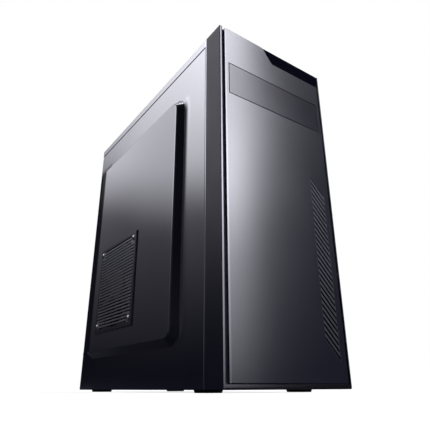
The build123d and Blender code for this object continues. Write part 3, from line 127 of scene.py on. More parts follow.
def soft_box_group(limits):
    """Brightness of one soft box towards a bearing and a height."""
    labels = ("Bearing", "Height", *limits)
    group, takes, gives = new_group(
        "soft_box", "ShaderNodeTree", [(label, "NodeSocketFloat", 0.0) for label in labels],
        [("Brightness", "NodeSocketFloat")])
    brightness = takes["Strength"]
    for value, side in (("Bearing", "Left"), ("Bearing", "Right"), ("Height", "Bottom"), ("Height", "Top")):
        ends = [maths(group, way, takes[side], takes[side + " Fade"]) for way in ("SUBTRACT", "ADD")]
        if side in ("Right", "Top"):
            ends.reverse()
        fade = ramp(group, takes[value], *ends, interpolation_type="SMOOTHSTEP")
        brightness = product(group, brightness, fade)
    group.links.new(brightness, gives["Brightness"])
    return group


room = bpy.data.worlds.new("studio")
room.use_nodes = True
sky = room.node_tree
sky.nodes.clear()
towards = split(sky, add(sky, "ShaderNodeTexCoord").outputs["Generated"])
forwards = maths(sky, "MULTIPLY", towards["Y"], -1.0)
bearing = maths(sky, "DEGREES", maths(sky, "ARCTAN2", towards["X"], forwards))
height = maths(sky, "DEGREES", maths(sky, "ARCSINE", towards["Z"]))
box_limits = (
    "Left", "Left Fade", "Right", "Right Fade", "Bottom", "Bottom Fade", "Top", "Top Fade", "Strength")
boxes = [
    (20.0, 6.0, 40.4, 0.5, 24.5, 9.5, 68.0, 29.5, 14.3),         # front right, the key light
    (0.0, 14.0, 39.1, 2.2, 10.5, 20.0, 30.5, 9.0, 13.9),         # under the key light, wider and lower
    (-8.0, 10.0, 24.0, 8.0, -4.0, 3.0, 12.0, 8.0, 3.0),          # front, down at the floor
    (-155.5, 21.0, -128.0, 10.0, 26.0, 4.5, 58.0, 5.5, 5.6),     # rear left
    (-146.5, 3.5, -132.5, 7.0, 34.0, 2.5, 64.0, 10.0, 2.0),      # on the front side of the rear left one
    (-157.5, 5.0, -112.0, 10.0, 70.0, 72.0, 64.0, 17.5, 9.2),    # round the rear left one, fading downwards
    (-120.0, 12.0, -22.0, 14.0, 6.0, 8.0, 62.0, 14.0, 0.04),     # left and front left, hardly any
    (-128.0, 10.0, -60.0, 20.0, 2.0, 3.0, 12.0, 6.0, 0.2),       # left, low and weak
    (-98.0, 6.0, -82.0, 8.0, 8.0, 10.0, 62.0, 14.0, 1.1),        # left
    (130.0, 12.0, 166.0, 8.0, 4.0, 6.0, 52.0, 12.0, 1.9),        # rear right
    (80.0, 10.0, 104.0, 8.0, 10.0, 14.0, 62.0, 14.0, 2.4),       # right
]
soft_box = soft_box_group(box_limits)
brightness = 0.01                                                # of the room between the boxes
for box in boxes:
    lit = add(sky, "ShaderNodeGroup", {"Bearing": bearing, "Height": height, **dict(zip(box_limits, box))},
              node_tree=soft_box).outputs[0]
    brightness = maths(sky, "ADD", brightness, lit)
studio = add(sky, "ShaderNodeBackground", {
    "Color": (0.91, 0.905, 1.0, 1.0), "Strength": brightness}).outputs[0]
white = add(sky, "ShaderNodeBackground", {"Color": (1.0, 1.0, 1.0, 1.0), "Strength": 1.0}).outputs[0]
ray = add(sky, "ShaderNodeLightPath").outputs
seen = maths(sky, "MAXIMUM", ray["Is Camera Ray"], ray["Is Transmission Ray"])
add(sky, "ShaderNodeOutputWorld", {
    "Surface": add(sky, "ShaderNodeMixShader", {0: seen, 1: studio, 2: white}).outputs[0]})
bpy.context.scene.world = room


# ---- floor ------------------------------------------------------------------------------------------------
# Plain white sheet under the tower, wide enough to pass for a room's floor.
# It shows white with the tower's soft shadow, and looks dim in the tower's polish.
sheet = bmesh.new()
bmesh.ops.create_grid(sheet, x_segments=2, y_segments=2, size=4.0)
floor_mesh = bpy.data.meshes.new("floor")
sheet.to_mesh(floor_mesh)
sheet.free()
floor = bpy.data.objects.new("floor", floor_mesh)
bpy.context.scene.collection.objects.link(floor)
paper = bpy.data.materials.new("floor_paper")
paper.use_nodes = True
paper.node_tree.nodes.clear()
pulp = paper.node_tree
matt = add(pulp, "ShaderNodeBsdfDiffuse", {"Color": (0.3, 0.3, 0.3, 1.0)}).outputs[0]
glow = add(pulp, "ShaderNodeEmission", {"Color": (1.0, 1.0, 1.0, 1.0), "Strength": 0.77}).outputs[0]
lit = add(pulp, "ShaderNodeAddShader", {0: matt, 1: glow}).outputs[0]
dim = add(pulp, "ShaderNodeBsdfDiffuse", {"Color": (0.07, 0.07, 0.09, 1.0)}).outputs[0]
ray = add(pulp, "ShaderNodeLightPath").outputs
shown = add(pulp, "ShaderNodeMixShader", {0: ray["Is Camera Ray"], 1: dim, 2: lit}).outputs[0]
add(pulp, "ShaderNodeOutputMaterial", {"Surface": shown})
floor.data.materials.append(paper)


# ---- sheet metal chassis ----------------------------------------------------------------------------------
# Base pan, front frame, rear panel, board tray and drive cages, folded from 0.7 mm zinc-coated steel
# and riveted together. The coating shows faint crystals and fine rolling lines, and is left bare.
def vector(tree, x=0.0, y=0.0, z=0.0):
    """Vector of three values."""
    return add(tree, "ShaderNodeCombineXYZ", {0: x, 1: y, 2: z}).outputs[0]


def blend(tree, amount, one, other):
    """Colour between two."""
    return add(tree, "ShaderNodeMix", {"Factor": amount, 6: one, 7: other}, data_type="RGBA").outputs[2]


def own_normal(tree):
    """The surface's normal before any rounding of edges."""
    return add(tree, "ShaderNodeNewGeometry").outputs["Normal"]


def grain_group():
    """Fine grain and slow clouding of a surface: a colour and a roughness, each between two, and a height."""
    number, colour = "NodeSocketFloat", "NodeSocketColor"
    group, takes, gives = new_group("grain", "ShaderNodeTree", [
        ("Dark", colour, None), ("Light", colour, None), ("Cloud Size", number, 0.05),
        ("Grain Size", number, 0.0005), ("Smooth", number, 0.3), ("Rough", number, 0.4),
        ("Stretch", number, 1.0)],
        [("Colour", colour), ("Roughness", number), ("Height", number)])

    def noise(where, size, detail):
        return add(group, "ShaderNodeTexNoise", {
            "Vector": where, "Scale": maths(group, "DIVIDE", 1.0, takes[size]), "Detail": detail}).outputs[0]

    place = add(group, "ShaderNodeTexCoord").outputs["Object"]
    faintest, strongest = 0.3, 0.7      # the noise seldom goes beyond these
    cloud = ramp(group, noise(place, "Cloud Size", 3.0), faintest, strongest)
    part = split(group, place)
    drawn = vector(group, part["X"], product(group, part["Y"], takes["Stretch"]), part["Z"])
    grain = noise(drawn, "Grain Size", 2.0)
    grain_share = 0.35
    both = add(group, "ShaderNodeMix", {"Factor": grain_share, "A": cloud, "B": grain}).outputs[0]
    put(group, gives, {
        "Colour": blend(group, both, takes["Dark"], takes["Light"]),
        "Roughness": ramp(group, both, 0.0, 1.0, takes["Smooth"], takes["Rough"]), "Height": grain})
    return group


def edge_group():
    """Softly rounded edges: the rounded normal, and how near an outer edge the point lies."""
    group, takes, gives = new_group("soft_edge", "ShaderNodeTree", [("Radius", "NodeSocketFloat", 0.0005)],
                                    [("Normal", "NodeSocketVector"), ("Edge", "NodeSocketFloat")])
    rounded = add(group, "ShaderNodeBevel", {"Radius": takes["Radius"]}, samples=6).outputs[0]
    same = add(group, "ShaderNodeVectorMath", {0: rounded, 1: own_normal(group)}, operation="DOT_PRODUCT")
    on_the_flat, on_the_edge = 0.995, 0.85      # cosines between the two normals
    put(group, gives, {
        "Normal": rounded, "Edge": ramp(group, same.outputs["Value"], on_the_flat, on_the_edge)})
    return group


grain_effect = grain_group()
edge_effect = edge_group()


def finish(name, dark, light, smooth, rough, grain=0.0006, relief=0.0, cloud=0.06, stretch=1.0, radius=0.0004,
           worn=None, bend=None, painted_light=None, **shader):
    """Material of the grain and edge groups on a Principled shader, whose plain sockets come by name.
    bend is a group that turns the normal a little, and the painted-light group paints highlights and shade
    on the skin: where it turns metallic, in which colour, and with which blur."""
    material = bpy.data.materials.new(name)
    material.use_nodes = True
    tree = material.node_tree
    tree.nodes.clear()
    skin = add(tree, "ShaderNodeGroup", {
        "Dark": (*dark, 1.0), "Light": (*light, 1.0), "Cloud Size": cloud, "Grain Size": grain,
        "Smooth": smooth, "Rough": rough, "Stretch": stretch}, node_tree=grain_effect).outputs
    edge = add(tree, "ShaderNodeGroup", {"Radius": radius}, node_tree=edge_effect).outputs
    normal, colour, blur = edge["Normal"], skin["Colour"], skin["Roughness"]
    if worn:
        colour = blend(tree, edge["Edge"], colour, (*worn, 1.0))
    sockets = {key.replace("_", " "): value for key, value in shader.items()}
    # Painted highlights and shade: the skin turns metallic with the group's colour and blur where its amount
    # says.
    if painted_light:
        bright = add(tree, "ShaderNodeGroup", {
            "Normal": normal, "Edge": edge["Edge"]}, node_tree=painted_light).outputs
        amount = bright["Amount"]
        colour = blend(tree, amount, colour, bright["Colour"])
        blur = add(tree, "ShaderNodeMix", {"Factor": amount, "A": blur, "B": bright["Roughness"]}).outputs[0]
        sockets["Metallic"] = amount
    if bend:
        normal = add(tree, "ShaderNodeGroup", {"Normal": normal}, node_tree=bend).outputs[0]
    bump = add(tree, "ShaderNodeBump", {
        "Strength": 1.0, "Distance": relief, "Height": skin["Height"], "Normal": normal}).outputs[0]
    surface = add(tree, "ShaderNodeBsdfPrincipled", {
        "Base Color": colour, "Roughness": blur, "Normal": bump, **sockets})
    add(tree, "ShaderNodeOutputMaterial", {"Surface": surface.outputs[0]})
    return material


def dress(material, *names):
    """Gives CAD nodes their material."""
    for name in names:
        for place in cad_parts[name].material_slots:
            place.material = material


zinc_sheet = finish("zinc_sheet", (0.36, 0.37, 0.38), (0.5, 0.51, 0.52), 0.34, 0.5, grain=0.004,
                    relief=0.00001, cloud=0.02, stretch=6.0, worn=(0.6, 0.6, 0.6), Metallic=1.0)
dress(zinc_sheet, "base_pan", "front_frame", "rear_panel", "slot_ledge", "slot_covers", "board_tray",
      "bay_cage", "drive_cage")


# ---- feet -------------------------------------------------------------------------------------------------
# Four thin round pads of moulded rubber, pushed into holes in the base pan.
# Matt black, with a slight bloom on the rims.
foot_rubber = finish("foot_rubber", (0.006, 0.006, 0.007), (0.014, 0.014, 0.015), 0.6, 0.8, relief=0.00002,
                     worn=(0.02, 0.02, 0.02))
dress(foot_rubber, "feet")


# ---- painted panels and top cover -------------------------------------------------------------------------
# Side panels with their pressed raised fields, the top cover and the side vent's grille, in satin black
# powder paint over steel. It mirrors soft boxes with a slight blur, in sheet that isn't quite flat. Painted
# highlights lie along the panels' and fields' front edges and at the field's upper front corner, and the
# grille's bars carry a painted sheen.
CENTRE_X = 0.0019                       # the body's middle
HALF_FLAT, RISE = 0.085, 0.0082         # from there out to a panel's flat skin, and on to its raised field
FIELD_FROM_EDGE = 0.055                 # from a panel's front edge back to the field
FIELD_LINE, HEM_LINE = 0.0018, 0.0011   # widths of the painted highlights on the field's and the panel's front edge


def greatest(tree, first, *others):
    """The greatest of the values, or masks laid together."""
    for other in others:
        first = maths(tree, "MAXIMUM", first, other)
    return first


def between(tree, value, low, high, more=0.0):
    """Mask of a value between two, or so much beyond them."""
    return maths(tree, "COMPARE", value, (low + high) / 2, (high - low) / 2 + more)


def at(tree):
    """X, Y and Z of a point in the tower's frame."""
    return split(tree, add(tree, "ShaderNodeTexCoord").outputs["Object"])


def bend_group(name):
    """Empty group that turns a normal."""
    kind = "NodeSocketVector"
    return new_group(name, "ShaderNodeTree", [("Normal", kind, None)], [("Normal", kind)])


def lean_by(tree, normal, y=0.0, z=0.0):
    """Normal with a little of Y and Z added."""
    small = vector(tree, 0.0, y, z)
    return add(tree, "ShaderNodeVectorMath", {0: normal, 1: small}, operation="ADD").outputs[0]


def turn_to(tree, normal, amount, target):
    """Normal turned to another one where the amount says so."""
    return add(tree, "ShaderNodeMix", {"Factor": amount, 4: normal, 5: target}, data_type="VECTOR").outputs[1]


def put_normal(tree, normal, gives):
    """Sends the normal out at unit length."""
    unit = add(tree, "ShaderNodeVectorMath", {0: normal}, operation="NORMALIZE").outputs[0]
    tree.links.new(unit, gives["Normal"])


def painted_light_group(name):
    """Empty group for painted light on a black skin: where it turns metallic to paint a highlight or shade,
    the painted colour of that reflection, and its blur.
    """
    return new_group(name, "ShaderNodeTree", [
        ("Normal", "NodeSocketVector", None), ("Edge", "NodeSocketFloat", 0.0)],
        [("Amount", "NodeSocketFloat"), ("Colour", "NodeSocketColor"), ("Roughness", "NodeSocketFloat")])


def panel_masks(group, front, low, high):
    """Raised field, its front edge, the panel's own front edge, and the slope at the field's upper front
    corner.
    front is the panel's front edge and high is the field's head; low, the field's foot, is not used. Each
    ramp is as long as its mask takes to fade."""
    place = at(group)
    out = maths(group, "ABSOLUTE", maths(group, "ADD", place["X"], -CENTRE_X))
    field, face = front + FIELD_FROM_EDGE, HALF_FLAT + RISE
    raised = ramp(group, out, face - 0.0012, face)
    edge = product(group, raised, maths(group, "LESS_THAN", place["Y"], field + FIELD_LINE))
    hem = product(group, maths(group, "LESS_THAN", place["Y"], front + HEM_LINE),
                  ramp(group, out, HALF_FLAT - 0.0006, HALF_FLAT - 0.0004))
    corner = product(group, ramp(group, place["Z"], high - 0.013, high - 0.010),
                     ramp(group, place["Y"], field + 0.007, field + 0.002))
    slope = product(group, ramp(group, out, HALF_FLAT + 0.0005, HALF_FLAT + 0.001),
                    ramp(group, out, face + 0.0001, face - 0.0002))
    return place, raised, edge, hem, product(group, corner, slope)


def pressed_group(front, rear, low, high):
    """Turns the panels' normal as their pressing does: the raised field is a shallow dish, the sheet rises to
    its foot in a curve, and the strip behind it is drawn in a little."""
    dish_front, dish_rear, dish_low, dish_high, dish_corner = 0.051, -0.055, 0.069, 0.033, -0.035
    dish_half_y, dish_half_z = 0.125, 0.15      # from its middle to where its leans are greatest
    curve_run, curve_power, curve_lean = 0.015, 1.8, -0.5
    drawn_from, drawn_to, drawn_lean = 0.0175, 0.0115, 0.15
    group, takes, gives = bend_group("pressed_panel")
    place, raised, edge, hem, glint = panel_masks(group, front, low, high)
    middle_y, middle_z = (front + rear) / 2, (low + high) / 2
    dish_y = ramp(group, place["Y"], middle_y - dish_half_y, middle_y + dish_half_y, dish_front, dish_rear)
    dish_z = ramp(group, place["Z"], middle_z - dish_half_z, middle_z + dish_half_z, dish_low, dish_high)
    dish_z = maths(group, "ADD", dish_z, product(
        group, ramp(group, place["Y"], middle_y - 0.02, rear - 0.03),
        ramp(group, place["Z"], high - 0.06, high - 0.14, 0.0, dish_corner)))
    foot = front + FIELD_FROM_EDGE - RISE
    beside = product(group, ramp(group, place["Z"], low, low + 0.02),
                     ramp(group, place["Z"], high - 0.003, high - 0.025))
    curve = maths(group, "POWER", ramp(group, place["Y"], foot - curve_run, foot), curve_power)
    curve = product(group, curve, beside, curve_lean, maths(group, "LESS_THAN", place["Y"], foot))
    drawn = product(group, ramp(group, place["Y"], rear - drawn_from, rear - drawn_to, 0.0, drawn_lean),
                    ramp(group, place["Z"], high + 0.012, high - 0.004))
    normal = turn_to(group, takes["Normal"], greatest(group, edge, hem), own_normal(group))
    normal = lean_by(group, normal, product(group, dish_y, raised), product(group, dish_z, raised))
    normal = lean_by(group, normal, maths(group, "ADD", drawn, curve))
    towards_light = (-0.99, 0.06, 0.12)
    put_normal(group, turn_to(group, normal, glint, towards_light), gives)
    return group


def panel_edge_painted_highlights_group(front, low, high):
    """Painted highlights along the panels' and fields' rounded front edges, and a brighter painted glint at
    the field's upper front corner, where the paint turns metallic with a set colour.
    """
    group, takes, gives = painted_light_group("panel_edge")
    _, _, edge, hem, glint = panel_masks(group, front, low, high)
    put(group, gives, {
        "Amount": greatest(group, edge, hem, glint), "Roughness": 0.17,
        "Colour": blend(group, glint, (0.13, 0.13, 0.14, 1.0), (0.3, 0.3, 0.32, 1.0))})
    return group


def grille_painted_light_group(low, high, rim=0.005, deep=0.0008):
    """Painted sheen on the grille's bars inside its rim: they turn metallic with a lighter colour and a blur,
    so they look a little brighter.
    """
    group, takes, gives = painted_light_group("grille_bars")
    place = at(group)
    bars = product(group, between(group, place["Y"], low.y, high.y, -rim),
                   between(group, place["Z"], low.z, high.z, -rim),
                   maths(group, "LESS_THAN", place["X"], low.x + deep))
    put(group, gives, {"Amount": bars, "Colour": (0.14, 0.14, 0.15, 1.0), "Roughness": 0.45})
    return group


tongue_reach, field_behind, field_below, field_above = 0.008, 0.0322, 0.0423, 0.043
low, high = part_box("left_panel")        # with its tongues, which reach in front of its edge
panel_front, field_rear, field_low, field_high = (
    low.y + tongue_reach, high.y - field_behind, low.z + field_below, high.z - field_above)
panel_paint = finish("panel_paint", (0.003, 0.003, 0.01), (0.004, 0.004, 0.013), 0.15, 0.18, grain=0.0007,
                     relief=0.000004, cloud=0.12, radius=0.0009,
                     bend=pressed_group(panel_front, field_rear, field_low, field_high),
                     painted_light=panel_edge_painted_highlights_group(panel_front, field_low, field_high))
dress(panel_paint, "top_cover", "left_panel", "right_panel")
grille_paint = finish("grille_paint", (0.005, 0.005, 0.009), (0.008, 0.008, 0.013), 0.22, 0.3, grain=0.0007,
                      relief=0.000004, cloud=0.12, radius=0.0004,
                      painted_light=grille_painted_light_group(*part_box("side_grille")))
dress(grille_paint, "side_grille")


# ---- front bezel ------------------------------------------------------------------------------------------
# Deep moulded ABS surround that clips onto the steel front. Its flanks have a finer, duller skin than the
# paint, and its left front rim and its chin are polished as the face plate is. Painted highlights run round
# its front left edge and along the rear edge of its left flank.
FLANK_DEEP, LIP = 0.03, 0.0011          # depth of the flanks, and of the painted highlight strip along their rear edge
RIM_WIDE, CHIN_HIGH = 0.0024, 0.008     # polished rim and chin
FACE_DEEP, SKIN_DEEP = 0.002, 0.0004    # how far in the front face and the left flank are taken to reach
RIGHT_FLAT = 0.004                      # flat strip at the right flank's front edge


def bezel_front_painted_highlights_group(left, front, rear):
    """The polished rim and chin of the bezel, and painted highlights round its front left edge and along the
    rear edge of its left flank."""
    group, takes, gives = painted_light_group("bezel_front")
    place, way = at(group), split(group, takes["Normal"])
    # Each is full once the normal leans 30 degrees its way.
    leftward, forward = (maths(group, "MULTIPLY", way[axis], -2.0, use_clamp=True) for axis in "XY")
    corner = maths(group, "MULTIPLY", leftward, forward, use_clamp=True)
    line = maths(group, "MULTIPLY", corner, takes["Edge"], use_clamp=True)
    rim = maths(group, "LESS_THAN", place["X"], left + RIM_WIDE)
    chin = maths(group, "LESS_THAN", place["Z"], CHIN_HIGH)
    polished = product(group, ramp(group, way["Y"], -0.5, -0.8),
                       maths(group, "LESS_THAN", place["Y"], front + FACE_DEEP), greatest(group, rim, chin))
    # Painted highlight strip along the left flank's rear edge.
    lip = product(group, maths(group, "GREATER_THAN", place["Y"], rear - LIP),
                  maths(group, "LESS_THAN", place["X"], left + SKIN_DEEP))
    # The painted highlight round the front left edge is lighter than the polish.
    tone = blend(group, line, (0.05, 0.05, 0.054, 1.0), (0.4, 0.4, 0.43, 1.0))
    put(group, gives, {
        "Amount": greatest(group, polished, line, lip), "Roughness": 0.19,
        "Colour": blend(group, lip, tone, (0.13, 0.13, 0.14, 1.0))})
    return group


def crowned_group(right, rear):
    """Leans the bezel's flanks back a little at mid height, and keeps their rear and right front edges
    flat."""
    foot_z, middle_z, head_z, foot_lean, middle_lean, head_lean = 0.05, 0.2, 0.4, 0.035, 0.125, -0.04
    group, takes, gives = bend_group("crowned_flank")
    place = at(group)
    lean = maths(group, "MINIMUM", ramp(group, place["Z"], foot_z, middle_z, foot_lean, middle_lean),
                 ramp(group, place["Z"], middle_z, head_z, middle_lean, head_lean))
    flank = ramp(group, maths(group, "ABSOLUTE", split(group, takes["Normal"])["X"]), 0.9, 0.98)
    normal = lean_by(group, takes["Normal"], z=product(group, lean, flank))
    flat = greatest(group, maths(group, "GREATER_THAN", place["X"], right - RIGHT_FLAT),
                    maths(group, "GREATER_THAN", place["Y"], rear - LIP))
    put_normal(group, turn_to(group, normal, flat, own_normal(group)), gives)
    return group


low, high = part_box("front_bezel")
bezel_skin = finish("bezel_skin", (0.003, 0.003, 0.009), (0.004, 0.004, 0.012), 0.42, 0.5, grain=0.0005,
                    relief=0.00001, radius=0.0008, painted_light=bezel_front_painted_highlights_group(low.x, low.y, low.y + FLANK_DEEP),
                    bend=crowned_group(high.x, low.y + FLANK_DEEP), Specular_IOR_Level=0.066)
dress(bezel_skin, "front_bezel")


# ---- vent screen ------------------------------------------------------------------------------------------
# Moulded black nylon screen with round holes in rows, to keep dust out.
# It is clipped to the back of the face plate, behind the diagonal slots.
def joined(tree, *pieces):
    """Several geometries in one."""
    join = add(tree, "GeometryNodeJoinGeometry")
    for piece in pieces:
        tree.links.new(piece, join.inputs[0])
    return join.outputs[0]


def screen_tree():
    """Geometry nodes that fill a width and a height with square cells, each with a round hole through it."""
    number = "NodeSocketFloat"
    weld = 0.00001
    group, takes, gives = new_group("hole_screen", "GeometryNodeTree", [
        ("Middle", "NodeSocketVector", None), ("Wide", number, 0.03), ("High", number, 0.2),
        ("Thick", number, 0.001), ("Pitch", number, 0.004), ("Hole Radius", number, 0.0014),
        ("Finish", "NodeSocketMaterial", None)], [("Screen", "NodeSocketGeometry")])

    def cells_in(length):
        many = add(group, "FunctionNodeFloatToInt", {0: maths(group, "DIVIDE", length, takes["Pitch"])},
                   rounding_mode="FLOOR").outputs[0]
        return many, maths(group, "DIVIDE", length, many)

    across, step_x = cells_in(takes["Wide"])
    along, step_z = cells_in(takes["High"])
    outline = add(group, "GeometryNodeCurvePrimitiveQuadrilateral", {
        "Width": step_x, "Height": step_z}).outputs[0]
    hole = add(group, "GeometryNodeCurvePrimitiveCircle", {
        "Resolution": 12, "Radius": takes["Hole Radius"]}).outputs["Curve"]
    face = add(group, "GeometryNodeFillCurve", {0: joined(group, outline, hole)}, mode="NGONS").outputs[0]
    grid = add(group, "GeometryNodeMeshGrid", {
        "Size X": maths(group, "SUBTRACT", takes["Wide"], step_x), "Vertices X": across,
        "Size Y": maths(group, "SUBTRACT", takes["High"], step_z), "Vertices Y": along}).outputs["Mesh"]
    cells = add(group, "GeometryNodeInstanceOnPoints", {"Points": grid, "Instance": face}).outputs[0]
    real = add(group, "GeometryNodeRealizeInstances", {0: cells}).outputs[0]
    sheet = add(group, "GeometryNodeMergeByDistance", {"Geometry": real, "Distance": weld}).outputs[0]
    upright = add(group, "GeometryNodeTransform", {
        "Geometry": sheet, "Rotation": (math.pi / 2, 0.0, 0.0), "Translation": takes["Middle"]}).outputs[0]
    solid = add(group, "GeometryNodeExtrudeMesh", {
        "Mesh": upright, "Offset": (0.0, 1.0, 0.0), "Offset Scale": takes["Thick"],
        "Individual": False}).outputs[0]
    back = add(group, "GeometryNodeFlipFaces", {0: upright}).outputs[0]
    closed = add(group, "GeometryNodeMergeByDistance", {
        "Geometry": joined(group, solid, back), "Distance": weld}).outputs[0]
    done = add(group, "GeometryNodeSetMaterial", {"Geometry": closed, "Material": takes["Finish"]}).outputs[0]
    group.links.new(done, gives["Screen"])
    return group


def made_by(tree, name, places, body, slot, material, stands_for, **sizes):
    """Runs a tree on its places, keeps the plain mesh, and lets it ride on a body in place of CAD nodes."""
    points = bpy.data.meshes.new(name + "_places")
    points.from_pydata([place for place, _ in places], [], [])
    facing = points.attributes.new("facing", "FLOAT_VECTOR", "POINT")
    for i, (_, way) in enumerate(places):
        facing.data[i].vector = way
    holder = bpy.data.objects.new(name + "_places", points)
    bpy.context.scene.collection.objects.link(holder)
    modifier = holder.modifiers.new("shape", "NODES")
    modifier.node_group = tree
    sizes["Finish"] = material
    for item in tree.interface.items_tree:
        if item.in_out == "INPUT" and item.name.replace(" ", "_") in sizes:
            modifier[item.identifier] = sizes[item.name.replace(" ", "_")]
    graph = bpy.context.evaluated_depsgraph_get()
    mesh = bpy.data.meshes.new_from_object(holder.evaluated_get(graph), depsgraph=graph)
    bpy.data.objects.remove(holder)
    mesh.name = name
    mesh.shade_smooth()
    mesh.set_sharp_from_angle(angle=math.radians(35))
    piece = bpy.data.objects.new(name, mesh)
    bpy.context.scene.collection.objects.link(piece)
    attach(piece, body)
    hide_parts(*stands_for)


vent_black = finish("vent_black", (0.002, 0.002, 0.004), (0.003, 0.003, 0.006), 0.5, 0.6,
                    Specular_IOR_Level=0.02)
dress(vent_black, "vent_mesh")
low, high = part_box("vent_mesh")
forward = Vector((0.0, -1.0, 0.0))
made_by(screen_tree(), "vent_screen", [((low + high) / 2, forward)], "chassis", "bezel_plastic", vent_black,
        ["vent_mesh"], Middle=((low[0] + high[0]) / 2, low[1], (low[2] + high[2]) / 2), Wide=high[0] - low[0],
        High=high[2] - low[2], Thick=high[1] - low[1], Pitch=0.0042, Hole_Radius=0.0015)


# ---- face plate and bay cover -----------------------------------------------------------------------------
# Flat plate over the whole front with the diagonal rows of slots, and the drive bay's blanking cover, which
# takes the light a little less. Both are polished black plastic that mirrors the room softly. A painted
# highlight runs along the plate's left bevel and a painted sheen over the bars between its slots; the slot
# walls, the plate's right edge and the seam round the cover are painted black as shade.
BEVEL, RIGHT_EDGE = 0.0016, 0.0022      # painted highlight strip along the plate's left edge, painted shade along its right
SCREEN_MARGIN, SLOT_HIGH = 0.006, 0.0029        # the vent screen beyond the slots, and one slot's height
SEAM_OUT, SEAM_IN = 0.0006, 0.0005      # painted shade, dull black round the bay cover's seam, on the plate and on the cover
BLACK = (0.001, 0.001, 0.001, 1.0)


def inside(group, place, box, more):
    """Mask inside a node's box, grown by so much, as seen from the front."""
    low, high = box
    return product(group, between(group, place["X"], low.x, high.x, more),
                   between(group, place["Z"], low.z, high.z, more))


def plate_masks(group, plate, screen):
    """The bevel on the face plate's left edge, its right edge, and the field of diagonal slots."""
    place = at(group)
    (plate_low, plate_high), (low, high) = plate, screen
    left = product(group, maths(group, "LESS_THAN", place["X"], plate_low.x + BEVEL),
                   ramp(group, place["X"], plate_low.x + 0.0002, plate_low.x + 0.0004))
    right = maths(group, "GREATER_THAN", place["X"], plate_high.x - RIGHT_EDGE)
    across = maths(group, "SUBTRACT", place["X"], low.x + SCREEN_MARGIN)
    run = high.x - low.x - 2 * SCREEN_MARGIN
    slots = product(group, between(group, across, 0.0, run),
                    between(group, maths(group, "ADD", place["Z"], across),
                            low.z + SCREEN_MARGIN + run - SLOT_HIGH, high.z - SCREEN_MARGIN))
    return place, left, right, slots


def plate_painted_light_group(plate, screen, cover):
    """Painted highlight along the face plate's left bevel, a painted sheen on the bars between its slots,
    painted shade on the slot walls, and painted shade along its right edge and round the bay's opening."""
    group, takes, gives = painted_light_group("plate_shine")
    place, left, right, slots = plate_masks(group, plate, screen)
    facing = ramp(group, split(group, takes["Normal"])["Y"], -0.6, -0.85)
    # Painted shade: black along the right edge, round the bay's opening, and on the slot walls.
    dark = greatest(group, right, inside(group, place, cover, SEAM_OUT))
    black = greatest(group, dark, product(group, slots, maths(group, "SUBTRACT", 1.0, facing)))
    # Colours of the painted highlight on the left bevel and of the painted sheen on the bars between the
    # slots.
    lit = blend(group, slots, (0.068, 0.068, 0.073, 1.0), (0.026, 0.026, 0.031, 1.0))
    put(group, gives, {
        "Amount": greatest(group, left, dark, slots), "Colour": blend(group, black, lit, BLACK),
        "Roughness": greatest(group, ramp(group, slots, 0.0, 1.0, 0.19, 0.45), black)})
    return group


def plate_bend_group(plate, screen):
    """Turns the face plate's side bevels to the front."""
    group, takes, gives = bend_group("plate_front")
    _, left, right, _ = plate_masks(group, plate, screen)
    put_normal(group, turn_to(group, takes["Normal"], greatest(group, left, right), (0.0, -1.0, 0.0)), gives)
    return group


def cover_painted_light_group(cover):
    """Painted shade: a black edge round the bay cover, where shade falls in its seam."""
    group, takes, gives = painted_light_group("cover_seam")
    seam = maths(group, "SUBTRACT", 1.0, inside(group, at(group), cover, -SEAM_IN))
    put(group, gives, {"Amount": seam, "Colour": BLACK, "Roughness": 1.0})
    return group


plate, screen, cover = (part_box(name) for name in ("face_plate", "vent_mesh", "bay_cover"))
polish = {"dark": (0.003, 0.003, 0.007), "light": (0.004, 0.004, 0.009), "smooth": 0.166, "rough": 0.204,
          "grain": 0.0012, "relief": 0.000002, "cloud": 0.15}
gloss_black = finish("gloss_black", radius=0.0005, bend=plate_bend_group(plate, screen),
                     painted_light=plate_painted_light_group(plate, screen, cover), **polish)
dress(gloss_black, "face_plate", "power_button", "reset_button")
cover_black = finish("cover_black", radius=0.0004, painted_light=cover_painted_light_group(cover), Specular_IOR_Level=0.3,
                     **polish)
dress(cover_black, "bay_cover")


# ---- top insert -------------------------------------------------------------------------------------------
# Sloping dark strip at the top right of the face with the buttons, sockets and lights.
# Fine-grained plastic that takes almost no light.
insert_skin = finish("insert_skin", (0.0018, 0.0018, 0.004), (0.0026, 0.0026, 0.0055), 0.5, 0.62,
                     relief=0.00002, Specular_IOR_Level=0.0)
dress(insert_skin, "top_insert")
port_black = finish("port_black", (0.012, 0.012, 0.014), (0.02, 0.02, 0.022), 0.35, 0.5, relief=0.000006)
dress(port_black, "front_audio_jacks", "rear_audio_jacks", "psu_inlet", "psu_switch")
port_tin = finish("port_tin", (0.55, 0.56, 0.57), (0.68, 0.69, 0.7), 0.2, 0.34, grain=0.002, stretch=4.0,
                  relief=0.000004, radius=0.0002, Metallic=1.0)
dress(port_tin, "front_usb_ports", "rear_usb_ports", "rear_lan_port", "rear_video_ports", "io_shield")
light_lens = finish("light_lens", (0.55, 0.62, 0.7), (0.66, 0.72, 0.8), 0.08, 0.14, radius=0.0002)
dress(light_lens, "status_lights")


# ---- fans -------------------------------------------------------------------------------------------------
# Four moulded fans: frames with round bores and hub struts, and rotors with swept blades.
# Glass-filled black plastic, lightly mottled.
fan_black = finish("fan_black", (0.008, 0.008, 0.009), (0.018, 0.018, 0.02), 0.38, 0.52, relief=0.00001,
                   radius=0.0003)
dress(fan_black, "side_fan_frame", "side_fan_rotor", "rear_fan_frame", "rear_fan_rotor", "psu_fan_frame",
      "psu_fan_rotor", "cpu_fan_frame", "cpu_fan_rotor")


